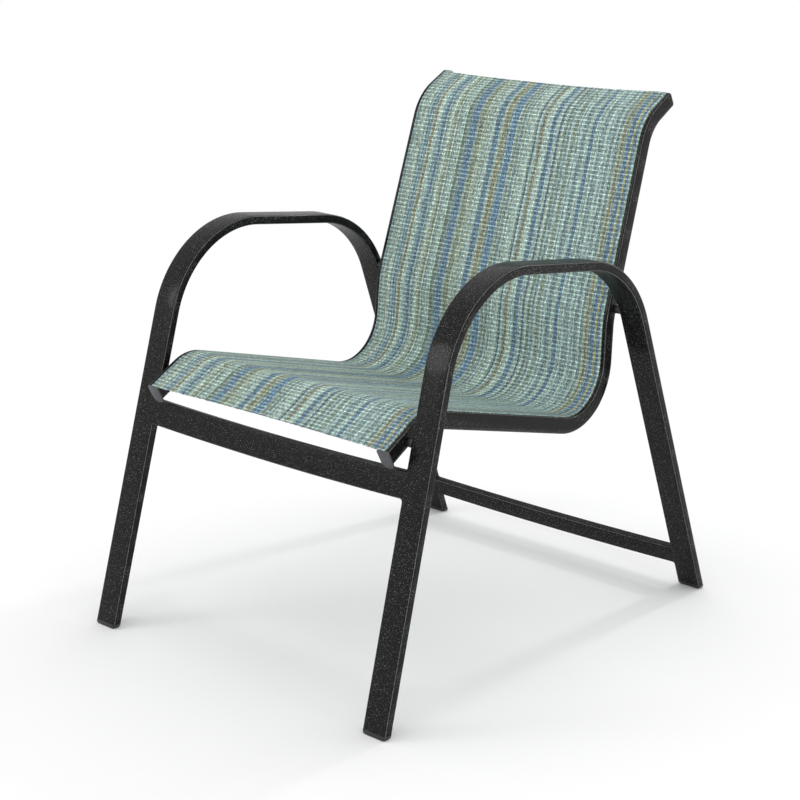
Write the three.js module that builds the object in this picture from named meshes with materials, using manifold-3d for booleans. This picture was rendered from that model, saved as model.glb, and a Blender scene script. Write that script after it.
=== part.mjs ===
// Sling patio chair, in millimetres: +Z up, its front faces -Y, and its left side, as sat in, is +X.
// Two bent side frames carry a front crossbar and a rear stretcher. Two slotted sling rails
// sit between them, and the cloth hangs from splines that lie in the slots of the rails.
import * as THREE from "three";
import { mergeVertices } from "three/addons/utils/BufferGeometryUtils.js";
import Module from "manifold-3d";

const wasm = await Module();
wasm.setup();

// Overall sizes
const floorWidth = 610; // over the outer faces of the feet
const footSpread = 820; // from the front feet to the rear feet, along the leg centre lines
const sideLean = THREE.MathUtils.degToRad(1.1); // both sides lean in towards the top
const fitGap = 0.3; // between pieces that touch

// Side frame: one bent flat tube that is front leg, arm and rear leg
const tubeWidth = 43;
const tubeThickness = 14.5;
const tubeWall = 1.8;
const tubeCorner = 3.4;
const armFrontHeight = 634; // height of the arm's centre line over the front corner
const armRearHeight = 596;
const frontLegSetback = 151; // how far the front corner of the arm lies behind the front foot
const rearLegSetback = 262;
const frontBendRadius = 165;
const rearBendRadius = 177;

// Foot caps
const footPadHeight = 7;
const footPadBevel = 2;
const footPlugLength = 22;

// Bars between the side frames
const crossbarHeight = 41; // along the legs
const crossbarThickness = 14.2;
const crossbarLevel = 341.5; // height of its centre at the legs
const crossbarSag = 4;
const stretcherHeight = 34;
const stretcherThickness = 13.5;
const stretcherLevel = 60;
const stretcherSag = 4;
const barWall = 1.8;
const barCorner = 3.2;

// Sling rails
const railGap = 12.4; // between a rail and the rear leg beside it
const frontRailGap = 9.7; // between a rail and the front leg beside it
const railWidth = 22;
const railDepth = 27.1;
const railWall = 2;
const railCorner = 3.6; // at the front face
const railBackCorner = 9.2;
const slotOffset = 3.7; // of the slot's middle, outwards from the rail's
const railLip = 2; // thickness of the front wall beside the slot
const lipRise = 0.6; // of the front wall inside the slot over the ridge outside it
const railWeb = 1.6; // between the spline bore and the lower channel
const slotClearance = 1.1;
// Front face line of a rail: tip, seat crest, seat back corner, lumbar bend, head roll, end
// Each rise is over the middle of the front crossbar at the legs.
const tipAhead = 30.7; // of the front crossbar
const tipRise = 49.3;
const crestRun = 77.8; // behind the tip
const crestRise = 95.3;
const crestRadius = 70;
const seatBackRun = 4.3; // ahead of the lumbar bend
const seatBackRise = -3.8;
const seatBackRadius = 76;
const lumbarAhead = 28.6; // of the rear leg, at its own height
const lumbarRise = 156.4;
const lumbarRadius = 138;
const headRollRun = 87.4; // behind the lumbar bend
const headRollRise = 462;
const headRollRadius = 90;
const railEndRun = 65.4; // behind the head roll
const railEndRise = 499.8;

// Caps in the ends of the rails
const railCapThickness = 2.2;
const railCapBevel = 0.8;
const railCapPlug = 14;
const frontCapDrop = 2; // how far the front cap reaches past the back of the rail

// Cloth and splines
const clothThickness = 0.9;
const splineDiameter = 5;
const clothInset = 0.2; // from the ends of the rails to the edges of the cloth
const splineInset = 3;
const clothSag = 4;
const clothRest = 3; // level strip of cloth past the inner edge of a rail
const frontEdgePull = 6; // how far the middle of the front edge is drawn back
const topEdgePull = 3;

// Spreader bars that hold the rails apart
const spreaderDiameter = 16;
const spreaderWall = 1.6;
const seatSpreaderBehind = 388.7; // the front crossbar
const seatSpreaderSag = 15;
const backSpreaderRise = 373.5; // over the middle of the front crossbar
const backSpreaderSag = 22;
const spreaderFlange = 2;
const spreaderPlug = 14;
const spreaderPinDiameter = 6.5;
const spreaderPin = 7;

// Fasteners
const boltDiameter = 6;
const boltHeadDiameter = 11;
const boltHeadHeight = 3.6;
const washerDiameter = 12;
const washerThickness = 1.2;
const rivetNutDiameter = 8.8;
const rivetNutLength = 13;
const rivetFlangeDiameter = 12.5;
const rivetFlange = 0.9;
const spacerDiameter = 13;

// Counts
const frontBendSteps = 14;
const rearBendSteps = 12;
const crestSteps = 5;
const seatBackSteps = 9;
const lumbarSteps = 2;
const headRollSteps = 5;
const longSpans = 2; // in each of a rail's two long straights
const barSteps = 8;
const spreaderSteps = 10;
const roundSides = 12;
const splineSides = 8;
const boreSteps = 9;
const hemSteps = 5;
const cornerSteps = 3; // at the outer corners of tubes and caps
const padCornerSteps = 2;
const railCornerSteps = 2;
const railBackSteps = 4;
const smallCornerSteps = 1; // in tube bores and on plugs

// Shares
const acrossShares = [-0.5, 0, 0.5]; // places across the cloth, of its half width
const bendSagShare = 0.4; // of the sag, where the cloth goes round a bend
const hemTurnShare = 0.89; // of a full turn, that a hem takes round its spline
const boltCrownShare = 0.25; // of a bolt head's diameter, out to the edge of its flat top
const boltBulgeShare = 0.44; // of a bolt head's diameter, halfway down

const weldTolerance = 1e-4; // corners closer than this are one corner

// Derived places
const tubePlane = floorWidth / 2 - tubeWidth / 2;
const railPlane = tubePlane - tubeWidth / 2 - railGap - railWidth / 2;
const leanSlope = Math.tan(sideLean);
const frontTilt = Math.atan2(frontLegSetback, armFrontHeight);
const rearTilt = Math.atan2(rearLegSetback, armRearHeight);
const slotWidth = clothThickness + 2 * slotClearance;
const clothRise = lipRise + fitGap + clothThickness; // of the cloth over the ridge of a rail
const hemAngleStart = Math.PI / 2;
const hemAngleEnd = hemAngleStart + 2 * Math.PI * hemTurnShare;
const hemStep = (hemAngleEnd - hemAngleStart) / hemSteps;
const hemInner = (splineDiameter / 2 + fitGap) / Math.cos(hemStep / 2);
const hemOuter = hemInner + clothThickness;
const boreRadius = (hemOuter + fitGap) / Math.cos(Math.PI / boreSteps);
const boreDepth = railLip + Math.sqrt(boreRadius ** 2 - (slotWidth / 2) ** 2);
const channelTop = boreDepth + boreRadius + railWeb;
const channelBottom = railDepth - railWall;
const channelWidth = railWidth - 2 * railWall;
const channelCorner = railBackCorner - railWall;
const pinDepth = channelTop + spreaderPinDiameter / 2 + 2 * fitGap; // of bolts and pins in a rail

// Materials
function finish(color, roughness, metalness) {
  return new THREE.MeshStandardMaterial({ color, roughness, metalness });
}
const coatedBlack = () => finish(0x1c1d1e, 0.45, 0.5);
const darkPlastic = () => finish(0x4a4c4f, 0.6, 0);
const blackPlastic = () => finish(0x191a1b, 0.65, 0);
const slingCloth = () => finish(0x84a59c, 0.85, 0);
const splinePlastic = () => finish(0xd8dad6, 0.5, 0);
const stainless = () => finish(0xa9adb0, 0.3, 1);

// Solids for cuts and joins
function solidFrom(geometry) {
  const bare = geometry.clone();
  bare.deleteAttribute("normal");
  bare.deleteAttribute("uv");
  const merged = mergeVertices(bare, weldTolerance);
  return new wasm.Manifold(
    new wasm.Mesh({
      numProp: 3,
      vertProperties: new Float32Array(merged.attributes.position.array),
      triVerts: new Uint32Array(merged.index.array),
    }),
  );
}

function geometryFrom(solid) {
  const mesh = solid.getMesh();
  const geometry = new THREE.BufferGeometry();
  const positions = new Float32Array(mesh.vertProperties);
  geometry.setAttribute("position", new THREE.BufferAttribute(positions, 3));
  geometry.setIndex(new THREE.BufferAttribute(new Uint32Array(mesh.triVerts), 1));
  const flat = geometry.toNonIndexed();
  flat.computeVertexNormals();
  return flat;
}

function join(first, second) {
  return geometryFrom(solidFrom(first).add(solidFrom(second)));
}

// Takes the cutter's shape, where it stands in the chair, out of the mesh
function cut(mesh, cutter) {
  mesh.updateWorldMatrix(true, false);
  cutter.updateWorldMatrix(true, false);
  const toMesh = mesh.matrixWorld.clone().invert().multiply(cutter.matrixWorld);
  const tool = cutter.geometry.clone().applyMatrix4(toMesh);
  mesh.geometry = geometryFrom(solidFrom(mesh.geometry).subtract(solidFrom(tool)));
}

// Outlines
// A block from side to side of the middle, with its own corners above and below
function cornered(width, above, below) {
  const points = [];
  const corners = [
    [1, above],
    [-1, above],
    [-1, below],
    [1, below],
  ];
  corners.forEach(([sign, { at, radius, steps }], corner) => {
    const middle = at + (corner < 2 ? -radius : radius);
    for (let i = 0; i <= steps; i += 1) {
      const angle = (corner + i / steps) * (Math.PI / 2);
      const x = sign * (width / 2 - radius) + radius * Math.cos(angle);
      points.push(new THREE.Vector2(x, middle + radius * Math.sin(angle)));
    }
  });
  return points;
}

function roundedRect(width, height, radius, steps) {
  return cornered(width, { at: height / 2, radius, steps }, { at: -height / 2, radius, steps });
}

function circle(radius, sides) {
  const points = [];
  for (let i = 0; i < sides; i += 1) {
    const angle = (i / sides) * Math.PI * 2;
    points.push(new THREE.Vector2(radius * Math.cos(angle), radius * Math.sin(angle)));
  }
  return points;
}

function tubeShape(width, height, corner, wall) {
  const shape = new THREE.Shape(roundedRect(width, height, corner, cornerSteps));
  const bore = roundedRect(width - 2 * wall, height - 2 * wall, corner / 2, smallCornerSteps);
  shape.holes.push(new THREE.Path(bore));
  return shape;
}

// Bent lines in the YZ plane: straights joined by round bends
// A corner is { y, z, radius, steps, spans }: spans divides the straight that leads to it.
function bentLine(corners) {
  const points = corners.map((corner) => new THREE.Vector2(corner.y, corner.z));
  const stations = [{ y: corners[0].y, z: corners[0].z }];
  for (let i = 1; i < corners.length; i += 1) {
    const corner = corners[i];
    const last = stations[stations.length - 1];
    const into = points[i].clone().sub(points[i - 1]).normalize();
    let reach = 0;
    let turn = 0;
    if (corner.radius) {
      const away = points[i + 1].clone().sub(points[i]).normalize();
      turn = Math.atan2(into.cross(away), into.dot(away));
      reach = corner.radius * Math.tan(Math.abs(turn) / 2);
    }
    const stop = points[i].clone().addScaledVector(into, -reach);
    const spans = corner.spans || 1;
    for (let k = 1; k <= spans; k += 1) {
      const share = k / spans;
      stations.push({
        y: THREE.MathUtils.lerp(last.y, stop.x, share),
        z: THREE.MathUtils.lerp(last.z, stop.y, share),
        angle: into.angle(),
      });
    }
    if (!corner.radius) continue;
    const side = Math.sign(turn);
    const centre = new THREE.Vector2(-into.y, into.x).multiplyScalar(side * corner.radius).add(stop);
    for (let k = 1; k <= corner.steps; k += 1) {
      const angle = into.angle() + (turn * k) / corner.steps;
      const out = new THREE.Vector2(Math.sin(angle), -Math.cos(angle));
      out.multiplyScalar(side * corner.radius).add(centre);
      stations.push({ y: out.x, z: out.y, angle, bend: Math.sin((Math.PI * k) / corner.steps) });
    }
  }
  stations[0].angle = stations[1].angle;
  return stations;
}

// The same line with its two ends moved in along their own directions
function shortened(stations, atStart, atEnd) {
  const moved = stations.map((station) => ({ ...station }));
  const first = moved[0];
  const last = moved[moved.length - 1];
  first.y += atStart * Math.cos(first.angle);
  first.z += atStart * Math.sin(first.angle);
  last.y -= atEnd * Math.cos(last.angle);
  last.z -= atEnd * Math.sin(last.angle);
  return moved;
}

// A point of a line moved off it by a depth behind its face
function behind(station, depth) {
  return {
    y: station.y + depth * Math.sin(station.angle),
    z: station.z - depth * Math.cos(station.angle),
    angle: station.angle,
  };
}

// Where two lines of stations cross in the YZ plane
function crossing(first, second) {
  for (let i = 1; i < first.length; i += 1) {
    for (let k = 1; k < second.length; k += 1) {
      const a = first[i - 1];
      const b = first[i];
      const c = second[k - 1];
      const d = second[k];
      const det = (b.y - a.y) * (d.z - c.z) - (b.z - a.z) * (d.y - c.y);
      if (det === 0) continue;
      const s = ((c.y - a.y) * (d.z - c.z) - (c.z - a.z) * (d.y - c.y)) / det;
      const t = ((c.y - a.y) * (b.z - a.z) - (c.z - a.z) * (b.y - a.y)) / det;
      if (s < 0 || s > 1 || t < 0 || t > 1) continue;
      return { y: a.y + s * (b.y - a.y), z: a.z + s * (b.z - a.z), angle: b.angle };
    }
  }
  throw new Error("the rail and the leg don't cross");
}

// The station of a line where its y or z first passes a value
function stationAt(stations, axis, value) {
  for (let i = 1; i < stations.length; i += 1) {
    const a = stations[i - 1];
    const b = stations[i];
    const share = (value - a[axis]) / (b[axis] - a[axis]);
    if (share < 0 || share > 1) continue;
    const y = THREE.MathUtils.lerp(a.y, b.y, share);
    const z = THREE.MathUtils.lerp(a.z, b.z, share);
    return { y, z, angle: THREE.MathUtils.lerp(a.angle, b.angle, share) };
  }
  throw new Error("no place on the rail for a spreader bar");
}

// A path that passes its stations one by one, so that bends get the sections and straights don't
class StationPath extends THREE.Curve {
  constructor(points, tangents) {
    super();
    this.points = points;
    this.tangents = tangents;
  }
  pick(list, share) {
    return list[Math.round(share * (list.length - 1))].clone();
  }
  getPoint(share) {
    return this.pick(this.points, share);
  }
  getPointAt(share) {
    return this.pick(this.points, share);
  }
  getTangentAt(share) {
    return this.pick(this.tangents, share);
  }
}

function sweep(shape, points, tangents) {
  return new THREE.ExtrudeGeometry(shape, {
    extrudePath: new StationPath(points, tangents),
    steps: points.length - 1,
    bevelEnabled: false,
  });
}

function sweepStations(shape, stations) {
  const points = stations.map((s) => new THREE.Vector3(0, s.y, s.z));
  const tangents = stations.map((s) => new THREE.Vector3(0, Math.cos(s.angle), Math.sin(s.angle)));
  return sweep(shape, points, tangents);
}

// Turned pieces: an outline of [radius, height] pairs spun about Z
function turned(outline, sides = roundSides) {
  const points = outline.map(([radius, height]) => new THREE.Vector2(radius, height));
  return new THREE.LatheGeometry(points, sides).rotateX(Math.PI / 2);
}

function ring(outer, inner, height) {
  const outline = [
    [inner, 0],
    [outer, 0],
    [outer, height],
    [inner, height],
    [inner, 0],
  ];
  return turned(outline);
}

// The chair
const chair = new THREE.Group();

function piece(name, geometry, material, parent = chair) {
  const mesh = new THREE.Mesh(geometry, material);
  mesh.name = name;
  parent.add(mesh);
  return mesh;
}

// A frame that leans with one side: x runs along the floor from the middle, z up the side
// The toe turns its front end outwards.
function leaningGroup(side, plane, toe = 0) {
  const group = new THREE.Group();
  group.position.x = side * plane;
  group.rotation.set(0, -side * sideLean, side * toe, "ZYX");
  chair.add(group);
  return group;
}

// A frame on a station: y along the rail, z out of its face
function placed(parent, x, station) {
  const group = new THREE.Group();
  group.position.set(x, station.y, station.z);
  group.rotation.x = station.angle;
  parent.add(group);
  return group;
}

const frameLine = bentLine([
  { y: -footSpread / 2, z: 0 },
  { y: -footSpread / 2 + frontLegSetback, z: armFrontHeight, radius: frontBendRadius, steps: frontBendSteps },
  { y: footSpread / 2 - rearLegSetback, z: armRearHeight, radius: rearBendRadius, steps: rearBendSteps },
  { y: footSpread / 2, z: 0 },
]);

const frontLegLine = frameLine.slice(0, 2);
const rearLegLine = frameLine.slice(-rearBendSteps - 2);

const crossbarPlace = {
  y: -footSpread / 2 + crossbarLevel * Math.tan(frontTilt),
  z: crossbarLevel,
  angle: -frontTilt,
};

const overBar = (rise) => crossbarLevel + rise;
const tipY = crossbarPlace.y - tipAhead;
const lumbarY = footSpread / 2 - overBar(lumbarRise) * Math.tan(rearTilt) - lumbarAhead;
const headRollY = lumbarY + headRollRun;
const railFace = bentLine([
  { y: tipY, z: overBar(tipRise) },
  { y: tipY + crestRun, z: overBar(crestRise), radius: crestRadius, steps: crestSteps },
  {
    y: lumbarY - seatBackRun,
    z: overBar(seatBackRise),
    radius: seatBackRadius,
    steps: seatBackSteps,
    spans: longSpans,
  },
  { y: lumbarY, z: overBar(lumbarRise), radius: lumbarRadius, steps: lumbarSteps },
  {
    y: headRollY,
    z: overBar(headRollRise),
    radius: headRollRadius,
    steps: headRollSteps,
    spans: longSpans,
  },
  { y: headRollY + railEndRun, z: overBar(railEndRise) },
]);
const railLine = shortened(railFace, railCapThickness + fitGap, railCapThickness + fitGap);

// Where the bolts go through a rail into the legs, and how the rail turns to stand off both
const pinLine = railLine.map((station) => behind(station, pinDepth));
const frontSpot = crossing(pinLine, frontLegLine);
const backSpot = crossing(pinLine, rearLegLine);
const railToe = Math.asin((railGap - frontRailGap) / (backSpot.y - frontSpot.y));
const railBase = railPlane + backSpot.y * Math.sin(railToe);

// A point of a rail in the chair: u outwards from the rail's middle, v out of its face
function railSpot(side, station, [u, v]) {
  const along = behind(station, -v);
  const out = u * Math.cos(sideLean) - along.z * Math.sin(sideLean);
  return new THREE.Vector3(
    side * (railBase + out * Math.cos(railToe) - along.y * Math.sin(railToe)),
    along.y * Math.cos(railToe) + out * Math.sin(railToe),
    along.z * Math.cos(sideLean) + u * Math.sin(sideLean),
  );
}

// Side frames and their feet
function sideFrame(name, side) {
  const shape = tubeShape(tubeWidth, tubeThickness, tubeCorner, tubeWall);
  const geometry = sweepStations(shape, frameLine);
  const mesh = piece(`${name}_side_frame`, geometry, coatedBlack(), leaningGroup(side, tubePlane));
  const floorBlock = new THREE.BoxGeometry(2 * floorWidth, 2 * footSpread, armRearHeight);
  const underside = new THREE.Mesh(floorBlock);
  underside.position.z = footPadHeight + fitGap - armRearHeight / 2;
  cut(mesh, underside);
  return mesh;
}

// A cap that closes a leg: a pad under the tube and a plug inside it, slanted as the leg is
function footCap(name, side, y, legSlope) {
  const stretch = Math.hypot(1, legSlope);
  const padWidth = tubeWidth - 2 * footPadBevel;
  const padDepth = tubeThickness * stretch - 2 * footPadBevel;
  const padCorner = tubeCorner - footPadBevel;
  const padShape = new THREE.Shape(roundedRect(padWidth, padDepth, padCorner, padCornerSteps));
  const pad = new THREE.ExtrudeGeometry(padShape, {
    depth: footPadHeight - 2 * footPadBevel,
    bevelThickness: footPadBevel,
    bevelSize: footPadBevel,
    bevelSegments: padCornerSteps,
  }).translate(0, 0, footPadBevel);
  const plugWidth = tubeWidth - 2 * tubeWall - 2 * fitGap;
  const plugDepth = (tubeThickness - 2 * tubeWall) * stretch - 2 * fitGap;
  const plugOutline = roundedRect(plugWidth, plugDepth, tubeCorner / 2, smallCornerSteps);
  const plugShape = new THREE.Shape(plugOutline);
  const plug = new THREE.ExtrudeGeometry(plugShape, {
    depth: footPlugLength + footPadBevel,
    bevelEnabled: false,
  }).translate(0, 0, footPadHeight - footPadBevel);
  const slant = new THREE.Matrix4().makeShear(0, 0, 0, 0, -side * leanSlope, legSlope);
  const mesh = piece(name, join(pad, plug).applyMatrix4(slant), blackPlastic());
  mesh.position.set(side * tubePlane, y, 0);
}

// A bar from side to side that bows down from local +Z
// Its ends are cut parallel to what it meets, which leans and may have a toe.
function crossPiece(name, place, shape, halfLength, { rise, straight, steps, toe = 0 }) {
  const reach = halfLength - straight;
  const points = [];
  for (let i = 0; i <= steps; i += 1) {
    const share = (2 * i) / steps - 1;
    points.push(new THREE.Vector3(share * reach, 0, rise(share)));
  }
  if (straight) {
    points.unshift(new THREE.Vector3(-halfLength, 0, 0));
    points.push(new THREE.Vector3(halfLength, 0, 0));
  }
  const outwards = new THREE.Vector2(Math.tan(toe), leanSlope);
  outwards.rotateAround(new THREE.Vector2(), -place.angle);
  const tangents = points.map((point, i) => {
    const side = i ? 1 : -1;
    if (i && i < points.length - 1) return points[i + 1].clone().sub(points[i - 1]);
    return new THREE.Vector3(1, side * outwards.x, side * outwards.y);
  });
  tangents.forEach((tangent) => tangent.normalize());
  return piece(name, sweep(shape, points, tangents), coatedBlack(), placed(chair, 0, place));
}

// How far from the middle the inner face of a side frame lies at a height
function frameInnerFace(z) {
  return tubePlane - (tubeWidth / 2) * Math.cos(sideLean) - z * leanSlope;
}

const crossbarRise = (share) => -crossbarSag * (1 - share ** 2);
const crossbarHalf = frameInnerFace(crossbarLevel) - fitGap;

function frontCrossbar() {
  const shape = tubeShape(crossbarThickness, crossbarHeight, barCorner, barWall);
  const name = "front_crossbar";
  const bow = { rise: crossbarRise, straight: 0, steps: barSteps };
  return crossPiece(name, crossbarPlace, shape, crossbarHalf, bow);
}

function rearStretcher() {
  const shape = tubeShape(stretcherThickness, stretcherHeight, barCorner, barWall);
  const half = frameInnerFace(stretcherLevel) - fitGap;
  const y = footSpread / 2 - stretcherLevel * Math.tan(rearTilt);
  const place = { y, z: stretcherLevel, angle: rearTilt };
  const bow = { rise: (share) => -stretcherSag * (1 - share ** 2), straight: 0, steps: barSteps };
  return crossPiece("rear_stretcher", place, shape, half, bow);
}

// Section of a rail: u runs outwards from its middle, v out of its face
function railOutline() {
  const half = railWidth / 2;
  const slot = slotWidth / 2;
  const outline = [];
  const bend = (u, v, radius, from, steps) => {
    for (let i = 0; i <= steps; i += 1) {
      const angle = from - (i / steps) * (Math.PI / 2);
      outline.push([u + radius * Math.cos(angle), v + radius * Math.sin(angle)]);
    }
  };
  const backV = -railDepth + railBackCorner;
  outline.push([slotOffset + slot, 0]);
  bend(half - railCorner, -railCorner, railCorner, Math.PI / 2, railCornerSteps);
  bend(half - railBackCorner, backV, railBackCorner, 0, railBackSteps);
  bend(-half + railBackCorner, backV, railBackCorner, -Math.PI / 2, railBackSteps);
  bend(-half + railCorner, lipRise - railCorner, railCorner, Math.PI, railCornerSteps);
  outline.push([slotOffset - slot, lipRise]);
  const mouth = Math.asin(slot / boreRadius);
  for (let i = 0; i <= boreSteps; i += 1) {
    const angle = Math.PI / 2 + mouth + ((2 * Math.PI - 2 * mouth) * i) / boreSteps;
    const u = slotOffset + boreRadius * Math.cos(angle);
    outline.push([u, -boreDepth + boreRadius * Math.sin(angle)]);
  }
  return outline;
}

// The hollow behind the bore, drawn in by a clearance
function channelOutline(clearance) {
  const above = {
    at: -channelTop - clearance,
    radius: railWall / 2,
    steps: smallCornerSteps,
  };
  const below = {
    at: -channelBottom + clearance,
    radius: channelCorner - clearance,
    steps: railBackSteps,
  };
  return cornered(channelWidth - 2 * clearance, above, below);
}

// A section given in u and v, drawn the way round that its side of the chair needs
function sided(outline, side) {
  return outline.map(([u, v]) => new THREE.Vector2(-side * u, v));
}

function slingRail(name, side, group) {
  const shape = new THREE.Shape(sided(railOutline(), side));
  shape.holes.push(new THREE.Path(channelOutline(0)));
  return piece(`${name}_sling_rail`, sweepStations(shape, railLine), coatedBlack(), group);
}

function splineRod(name, side, group) {
  const points = circle(splineDiameter / 2, splineSides);
  points.forEach((point) => {
    point.x -= side * slotOffset;
    point.y -= boreDepth;
  });
  const line = shortened(railLine, splineInset, splineInset);
  piece(`${name}_spline_rod`, sweepStations(new THREE.Shape(points), line), splinePlastic(), group);
}

// A cap in the end of a rail: a plate with the rail's outline and a plug in the channel
function railCap(name, group, end, material) {
  const drop = end < 0 ? frontCapDrop : 0;
  const above = {
    at: -railCapBevel,
    radius: railCorner - railCapBevel,
    steps: railCornerSteps,
  };
  const below = {
    at: -railDepth - drop + railCapBevel,
    radius: railBackCorner - railCapBevel,
    steps: railBackSteps,
  };
  const plateShape = new THREE.Shape(cornered(railWidth - 2 * railCapBevel, above, below));
  const plate = new THREE.ExtrudeGeometry(plateShape, {
    depth: railCapThickness - 2 * railCapBevel,
    bevelThickness: railCapBevel,
    bevelSize: railCapBevel,
    bevelSegments: smallCornerSteps,
  }).translate(0, 0, railCapBevel);
  const plug = new THREE.ExtrudeGeometry(new THREE.Shape(channelOutline(fitGap)), {
    depth: railCapPlug + railCapThickness / 2,
    bevelEnabled: false,
  }).translate(0, 0, -railCapPlug);
  const geometry = join(plate, plug).rotateX(Math.PI / 2).rotateZ(end < 0 ? 0 : Math.PI);
  const station = end < 0 ? railLine[0] : railLine[railLine.length - 1];
  const seat = { ...station };
  seat.y += end * fitGap * Math.cos(station.angle);
  seat.z += end * fitGap * Math.sin(station.angle);
  piece(name, geometry, material, placed(group, 0, seat));
}

// The cloth: its edge sections hook round the splines inside the rails
function hemChain(radius, wall) {
  const chain = [];
  const entry = Math.asin(-wall / radius);
  for (let i = 0; i <= hemSteps; i += 1) {
    const angle = i ? hemAngleStart + i * hemStep : hemAngleStart + entry;
    chain.push([radius * Math.cos(angle), -boreDepth + radius * Math.sin(angle)]);
  }
  return chain;
}

function clothSection() {
  const wall = -slotWidth / 2 + fitGap; // from the middle of the slot, as is the rest
  const rest = -slotOffset - railWidth / 2 - clothRest;
  const under = clothRise - clothThickness;
  const inRail = (chain) => chain.map(([u, v]) => [u + slotOffset, v]);
  const innerSide = inRail([
    [rest, clothRise],
    [wall, clothRise],
    [wall + clothThickness, under],
    ...hemChain(hemInner, wall + clothThickness),
  ]);
  const outerSide = inRail([[rest, under], [wall, under], ...hemChain(hemOuter, wall)]);
  return { innerSide, outerSide };
}

function slingFabric() {
  const line = shortened(railLine, clothInset, clothInset);
  const { innerSide, outerSide } = clothSection();
  const rings = line.map((station, index) => {
    const sag = clothSag * (station.bend ? bendSagShare : 1);
    const pull = index ? (index === line.length - 1 ? -topEdgePull : 0) : frontEdgePull;
    const across = (share, v) => {
      const edge = railSpot(1, station, [innerSide[0][0], v]);
      const slack = 1 - share ** 2;
      const moved = behind({ y: edge.y, z: edge.z, angle: station.angle }, sag * slack);
      moved.y += pull * slack * Math.cos(station.angle);
      moved.z += pull * slack * Math.sin(station.angle);
      return new THREE.Vector3(edge.x * share, moved.y, moved.z);
    };
    return [
      ...acrossShares.map((share) => across(share, clothRise)),
      ...innerSide.map((point) => railSpot(1, station, point)),
      ...outerSide.map((point) => railSpot(1, station, point)).reverse(),
      ...acrossShares.map((share) => across(share, clothRise - clothThickness)).reverse(),
      ...outerSide.map((point) => railSpot(-1, station, point)),
      ...innerSide.map((point) => railSpot(-1, station, point)).reverse(),
    ];
  });
  return piece("sling_fabric", skin(rings, line), slingCloth());
}

// Joins rings of points into one closed surface, with a flat face on the first and last ring
function skin(rings, line) {
  const count = rings[0].length;
  const positions = rings.flat().flatMap((point) => point.toArray());
  const index = [];
  for (let r = 1; r < rings.length; r += 1) {
    for (let i = 0; i < count; i += 1) {
      const next = (i + 1) % count;
      const a = (r - 1) * count + i;
      const b = (r - 1) * count + next;
      const c = r * count + next;
      const d = r * count + i;
      index.push(a, b, c, a, c, d);
    }
  }
  [0, rings.length - 1].forEach((r) => {
    const { angle } = line[r];
    const flat = rings[r].map(
      (point) => new THREE.Vector2(point.x, point.z * Math.cos(angle) - point.y * Math.sin(angle)),
    );
    THREE.ShapeUtils.triangulateShape(flat, []).forEach(([a, b, c]) => {
      const start = r * count;
      if (r) index.push(start + a, start + c, start + b);
      else index.push(start + a, start + b, start + c);
    });
  });
  const geometry = new THREE.BufferGeometry();
  geometry.setAttribute("position", new THREE.Float32BufferAttribute(positions, 3));
  geometry.setIndex(index);
  const solid = solidFrom(geometry);
  if (solid.volume() > 0) return geometryFrom(solid);
  for (let i = 0; i < index.length; i += 3) {
    [index[i + 1], index[i + 2]] = [index[i + 2], index[i + 1]];
  }
  geometry.setIndex(index);
  return geometryFrom(solidFrom(geometry));
}

// A spreader bar and the two end plugs whose pins sit in holes of the rails
function spreaderBar(name, station, sag, rails) {
  const shape = new THREE.Shape(circle(spreaderDiameter / 2, roundSides));
  shape.holes.push(new THREE.Path(circle(spreaderDiameter / 2 - spreaderWall, roundSides)));
  const faceU = railWidth / 2 + fitGap; // of the plugs, inwards from the rail's middle
  const seat = railSpot(1, station, [-faceU, -pinDepth]);
  const place = { y: seat.y, z: seat.z, angle: station.angle };
  const rise = (share) => -sag * (1 - share ** 2) ** 2;
  const straight = spreaderPlug + spreaderFlange;
  const bow = { rise, straight, steps: spreaderSteps, toe: railToe };
  crossPiece(`${name}_spreader_bar`, place, shape, seat.x - spreaderFlange - fitGap, bow);
  rails.forEach(({ side, label, group, rail }) => {
    const shaft = placed(group, -side * faceU, behind(station, pinDepth));
    const bore = spreaderDiameter / 2 - spreaderWall - 2 * fitGap;
    const outline = [
      [0, -spreaderPlug - spreaderFlange],
      [bore, -spreaderPlug - spreaderFlange],
      [bore, -spreaderFlange],
      [spreaderDiameter / 2, -spreaderFlange],
      [spreaderDiameter / 2, 0],
      [spreaderPinDiameter / 2, 0],
      [spreaderPinDiameter / 2, spreaderPin],
      [0, spreaderPin],
    ];
    const plug = turned(outline).rotateY((side * Math.PI) / 2);
    piece(`${label}_${name}_spreader_plug`, plug, blackPlastic(), shaft);
    const hole = drill(spreaderPinDiameter, -spreaderFlange, spreaderPin + spreaderFlange);
    hole.rotateY((side * Math.PI) / 2);
    const tool = new THREE.Mesh(hole);
    shaft.add(tool);
    cut(rail, tool);
    shaft.remove(tool);
  });
}

// A cutter along Z that leaves the fit gap round a pin or bolt
function drill(diameter, from, to) {
  const radius = diameter / 2 + fitGap;
  const hole = new THREE.CylinderGeometry(radius, radius, to - from, roundSides);
  return hole.rotateX(Math.PI / 2).translate(0, 0, (from + to) / 2);
}

// A button head bolt along Z, its head's seat at zero
function bolt(length) {
  const outline = [
    [0, -boltHeadHeight],
    [boltHeadDiameter * boltCrownShare, -boltHeadHeight],
    [boltHeadDiameter * boltBulgeShare, -boltHeadHeight / 2],
    [boltHeadDiameter / 2, 0],
    [boltDiameter / 2, 0],
    [boltDiameter / 2, length],
    [0, length],
  ];
  return turned(outline);
}

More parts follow.
